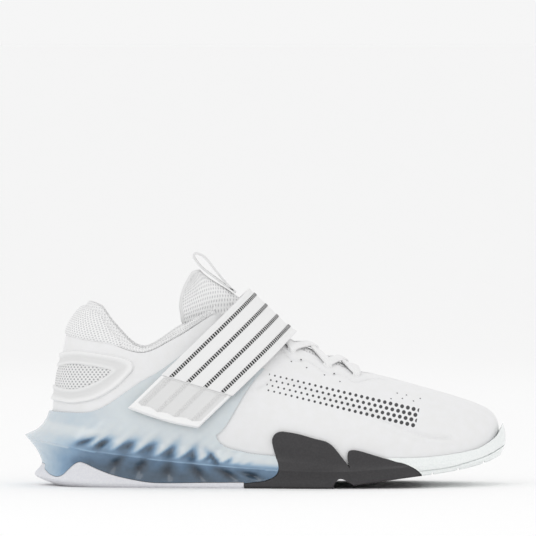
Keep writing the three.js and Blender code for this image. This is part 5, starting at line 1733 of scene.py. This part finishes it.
@dataclass
class Strap:
    """The strap over the instep: band, backing, moulded tab and the four lines of thread."""

    slope: float = 44.0
    back: float = 9.0
    core: float = 112.0
    width: float = 40.0
    planes: int = 80
    steps: int = 800
    tab_low: tuple[float, float] = (81, 104.2)
    tab_high: tuple[float, float] = (109.5, 132.5)
    inner_end: tuple[float, float] = (80, 98)
    lines: tuple[float, ...] = (0.13, 0.37, 0.61, 0.85)
    reach: tuple[tuple[float, ...], ...] = (
        (
            50.33, 40.03, 34.64, 33.02, 34.38, 39.39, 49.76, 62.63, 70.80,
            64.54, 50.61, 39.53, 34.55, 33.22, 34.89, 40.40, 51.12,
        ),
        (
            52.14, 41.83, 36.57, 35.02, 36.62, 42.07, 52.12, 63.90, 71.18,
            65.46, 52.34, 41.14, 35.74, 34.20, 35.74, 41.13, 51.52,
        ),
        (
            53.95, 43.64, 38.65, 37.38, 39.29, 44.81, 54.47, 65.18, 71.55,
            66.38, 54.07, 42.94, 37.26, 35.41, 36.73, 41.86, 51.92,
        ),
        (
            55.76, 45.48, 40.69, 39.79, 41.97, 47.55, 57.23, 66.85, 71.93,
            67.55, 55.97, 44.75, 38.94, 36.84, 37.84, 42.60, 52.32,
        ),
        (
            57.57, 47.34, 42.76, 42.20, 44.65, 50.82, 60.88, 68.20, 73.43,
            68.68, 59.18, 46.75, 40.62, 38.29, 38.97, 43.35, 52.71,
        ),
    )

    def __post_init__(self) -> None:
        """Works out the strap's path in many planes across it."""
        across = spline(np.array(self.reach), self.planes + 1)
        far = spline(across.T, self.steps + 1).T
        turn = math.pi * (1.25 - 1.5 * np.linspace(0, 1, self.steps + 1))
        self.y = far * np.cos(turn)
        self.up = self.core + far * np.sin(turn)
        self.far = lengths(np.stack([self.y, self.up], -1).transpose(1, 0, 2)).T

    def at(self, share: Array, height: tuple[float, float], inner: bool) -> Array:
        """How far along its path the strap reaches a height, for each share across it."""
        wanted = height[0] + (height[1] - height[0]) * share
        out = np.empty(len(share))
        for k, (s, h) in enumerate(zip(share, wanted)):
            row = int(round(np.clip(s, 0, 1) * self.planes))
            part = slice(self.steps // 2, None) if inner else slice(0, self.steps // 2 + 1)
            up, far = self.up[row, part], self.far[row, part]
            out[k] = np.interp(h, up[::-1], far[::-1]) if inner else np.interp(h, up, far)
        return out

    def lay(self, share: Array, far: Array, off: Array | float) -> Array:
        """Points on the strap's path.

        Args:
            share: Across the strap, for each column.
            far: Along its path, in rows of columns.
            off: The height over the path.
        """
        off = np.broadcast_to(off, far.shape)
        out = np.empty(far.shape + (3,))
        slope = math.radians(self.slope)
        for k, s in enumerate(share):
            place = np.clip(s, 0, 1) * self.planes
            low = min(int(place), self.planes - 1)
            part = place - low
            y = self.y[low] * (1 - part) + self.y[low + 1] * part
            up = self.up[low] * (1 - part) + self.up[low + 1] * part
            along = self.far[low] * (1 - part) + self.far[low + 1] * part
            dy, du = np.gradient(y, along), np.gradient(up, along)
            n = unit(np.stack([-du, dy], -1))
            wanted = far[:, k]
            py = np.interp(wanted, along, y) + off[:, k] * np.interp(wanted, along, n[:, 0])
            pu = np.interp(wanted, along, up) + off[:, k] * np.interp(wanted, along, n[:, 1])
            over = self.back + s * self.width
            out[:, k, 0] = over * math.sin(slope) + pu * math.cos(slope)
            out[:, k, 1] = py
            out[:, k, 2] = -over * math.cos(slope) + pu * math.sin(slope)
        return out

    def span(
        self, share: Array, start: tuple[float, float], end: tuple[float, float], inner: bool, rows: int
    ) -> Array:
        """Rows along the strap between two of its ends."""
        low, high = self.at(share, start, False), self.at(share, end, inner)
        part = np.linspace(0, 1, rows)[:, None]
        return low[None] * (1 - part) + high[None] * part

    def build(self, tape: Material, lining: Material, moulded: Material, thread: Material) -> None:
        """All the layers."""
        above = tuple(h + GAP for h in self.tab_high)
        share = np.linspace(0.015, 0.985, 25)
        far = self.span(share, above, self.inner_end, True, 200)
        skin = Skin(self.lay(share, far, 1.5)).chart(share[None] * self.width, far)
        piece = skin.sew("strap_lining")
        thicken(piece, 1.2)
        soften_rims(piece, 0.35)
        settle(piece, lining, "strap_backing")
        share = np.linspace(0, 1, 81)
        far = self.span(share, above, self.inner_end, True, 280)
        edge = np.minimum(share, 1 - share) * self.width
        press = -0.3 * np.exp(-(((edge - 3.0) / 0.6) ** 2))
        skin = Skin(self.lay(share, far, 3.6 + press[None])).chart(share[None] * self.width, far)
        piece = skin.sew("strap_band")
        thicken(piece, 1.8)
        soften_rims(piece, 0.5)
        settle(piece, tape, "strap", angle=50)
        self.sew_lines(thread)
        self.tab(moulded)

    def sew_lines(self, finish: Material) -> None:
        """The four lines of thread along the band."""
        above = tuple(h + 1.0 for h in self.tab_high)
        for number, middle in enumerate(self.lines, 1):
            across = np.linspace(-1.15, 1.15, 9)
            share = middle + across / self.width
            far = self.span(share, above, self.inner_end, True, 280)
            crown = 3.55 + 0.42 * np.sqrt(1 - (across / 1.2) ** 2)
            skin = Skin(self.lay(share, far, crown[None])).chart(across[None], far)
            settle(skin.sew(f"strap_thread_{number}"), finish, "strap")

    def tab(self, finish: Material) -> None:
        """The moulded tab: a rim round a sunk panel with rows of bars and a scalloped end."""
        share = np.linspace(0.01, 0.99, 120)
        far = self.span(share, self.tab_low, self.tab_high, False, 110)
        low, high = far[0], far[-1]
        bow = 2.0 * 4 * share * (1 - share)
        far = far - bow[None] * np.linspace(1, 0, 110)[:, None]
        low = low - bow
        side = np.minimum(share, 1 - share)[None] * self.width
        from_low = far - low[None]
        from_high = high[None] - far
        phase = (share - self.lines[0]) / (self.lines[1] - self.lines[0])
        scallop = 4.2 + 1.5 * np.abs(np.sin(math.pi * phase))
        above = smooth(0, 0.9, from_low - scallop[None])
        inside = smooth(2.0, 3.0, side) * above * smooth(0.2, 0.8, from_high)
        height = 3.1 - 1.0 * inside
        for line in self.lines:
            beside = np.abs(share - line)[None] * self.width
            bars = (0.5 + 0.5 * np.sin(2 * math.pi * far / 1.45)) * (1 - smooth(1.0, 1.5, beside))
            height = height + 0.6 * bars * inside
        edge = np.minimum(side, np.minimum(from_low, 8))
        height = height - 1.3 * (1 - smooth(0, 1.4, edge))
        # The sunk panel is marked for painted shade.
        skin = Skin(self.lay(share, far, height)).mark("sunk", inside)
        piece = skin.sew("strap_tab_moulding")
        thicken(piece, 1.3)
        settle(piece, finish, "strap_tab", angle=60)


@dataclass
class Studio:
    """Camera, lights and the pale floor that the shoe stands on."""

    span: float = 0.335
    target: tuple[float, float, float] = (0.0016, 0.0, 0.1356)
    elevation: float = 1.5
    distance: float = 6.0
    reach: float = 300.0
    lamps: tuple[tuple[str, tuple[float, float, float], float, float], ...] = (
        ("key", (-0.9, -1.5, 1.3), 0.9, 3.4),
        ("top", (0.1, 0.1, 1.7), 1.2, 0.5),
        ("side", (1.5, -0.9, 0.8), 1.0, 1.0),
        ("rim", (0.0, 1.5, 1.2), 1.2, 0.6),
    )

    def camera(self) -> None:
        """A long lens square to the shoe's outer side."""
        data = bpy.data.cameras.new("camera")
        data.sensor_width = 36
        data.lens = 36 * self.distance / self.span
        data.clip_end = 100
        camera = linked("camera", data)
        lift = math.radians(self.elevation)
        target = Vector(self.target)
        camera.location = target + self.distance * Vector((0, -math.cos(lift), math.sin(lift)))
        camera.rotation_euler = (target - camera.location).to_track_quat("-Z", "Y").to_euler()
        bpy.context.scene.camera = camera

    def lights(self) -> None:
        """Soft panels and an even sky."""
        for name, place, size, power in self.lamps:
            data = bpy.data.lights.new(name, "AREA")
            data.size = size
            data.energy = power
            lamp = linked(name, data)
            lamp.location = place
            lamp.rotation_euler = (Vector((0, 0, 0.05)) - Vector(place)).to_track_quat("-Z", "Y").to_euler()
        world = bpy.data.worlds.new("sky")
        world.use_nodes = True
        sky = world.node_tree.nodes["Background"]
        sky.inputs["Color"].default_value = linear("#ffffff")
        sky.inputs["Strength"].default_value = 0.92
        bpy.context.scene.world = world

    def floor(self, finish: Material) -> None:
        """A wide floor with nothing round it, so that the shoe shows from every side."""
        form = bmesh.new()
        bmesh.ops.create_grid(form, x_segments=1, y_segments=1, size=self.reach)
        floor = linked("studio_floor", meshed(form, "studio_floor"))
        floor.data.materials.append(finish)


def main() -> None:
    """Builds the studio and the shoe, piece by piece."""
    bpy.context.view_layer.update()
    bpy.context.scene.view_settings.view_transform = "Standard"
    studio = Studio()
    studio.camera()
    studio.lights()
    studio.floor(Finish("painted_floor", "#fefefe", 0.9).make())
    leather = Leather("coated_leather", "#e9e9e9").make()
    dark = Finish("hole_shadow", "#6c6c6e", 0.9).make()
    upper = Upper()
    upper.build(leather)
    upper.punch(dark)
    moulded = Polyurethane("moulded_polyurethane", "#ebebeb", 0.4).make()
    window = SpacerMesh("window_mesh", "#ececec", 0.85, "#a2a2a5", (2.6, 1.5), 0.42, 0.5, 1.2).make()
    HeelWindow().build(moulded, window)
    knit = KnitRoll("knitted_roll", "#f3f3f3", 0.9).make()
    pad = SpacerMesh("pad_mesh", "#f4f4f4", 0.88, "#c8c8ca", (2.1, 1.4), 0.32, 0.4, 1.4)
    Collar().build(knit, pad.make())
    ribbon = Woven("woven_ribbon", "#ededed", 0.8, 0.7, 0.6, 0.08, "#dedede").make()
    tongue = SpacerMesh("tongue_knit", "#f4f4f4", 0.9, "#c2c2c4", (2.9, 2.0), 0.3, 0.4, 2.2)
    Tongue().build(tongue.make(), ribbon)
    Sole().build(
        BlueTpu("blue_tpu", "#b5c9d3", 0.24).make(),
        Rubber("white_rubber", "#e4e4e7", 0.5, "#dedee3", 0.8, 0.03).make(),
        Rubber("grey_rubber", "#2b2a2c", 0.3, "#343234", 0.6, 0.05).make(),
        ClearRubber("clear_rubber", "#f1f4f3", 0.3, "#eaeeed", 1.0, 0.03).make(),
    )
    Laces(upper).build(Woven("woven_lace", "#fafafa", 0.85, 1.1, 0.9, 0.14, "#ececec").make())
    Insole().build(Woven("woven_sock", "#e0e0e0", 0.9, 1.4, 1.1, 0.12, "#cfcfcf").make())
    Strap().build(
        Woven("woven_strap", "#f3f3f3", 0.75, 0.8, 0.7, 0.06, "#e9e9e9").make(),
        Woven("brushed_lining", "#e4e4e4", 0.9, 0.9, 0.8, 0.1, "#d2d2d2").make(),
        Polyurethane("soft_polyurethane", "#f1f1f1", 0.4).make(),
        StitchedThread("stitched_thread", "#0d0d0d", 0.6).make(),
    )


if __name__ == "__main__":
    main()
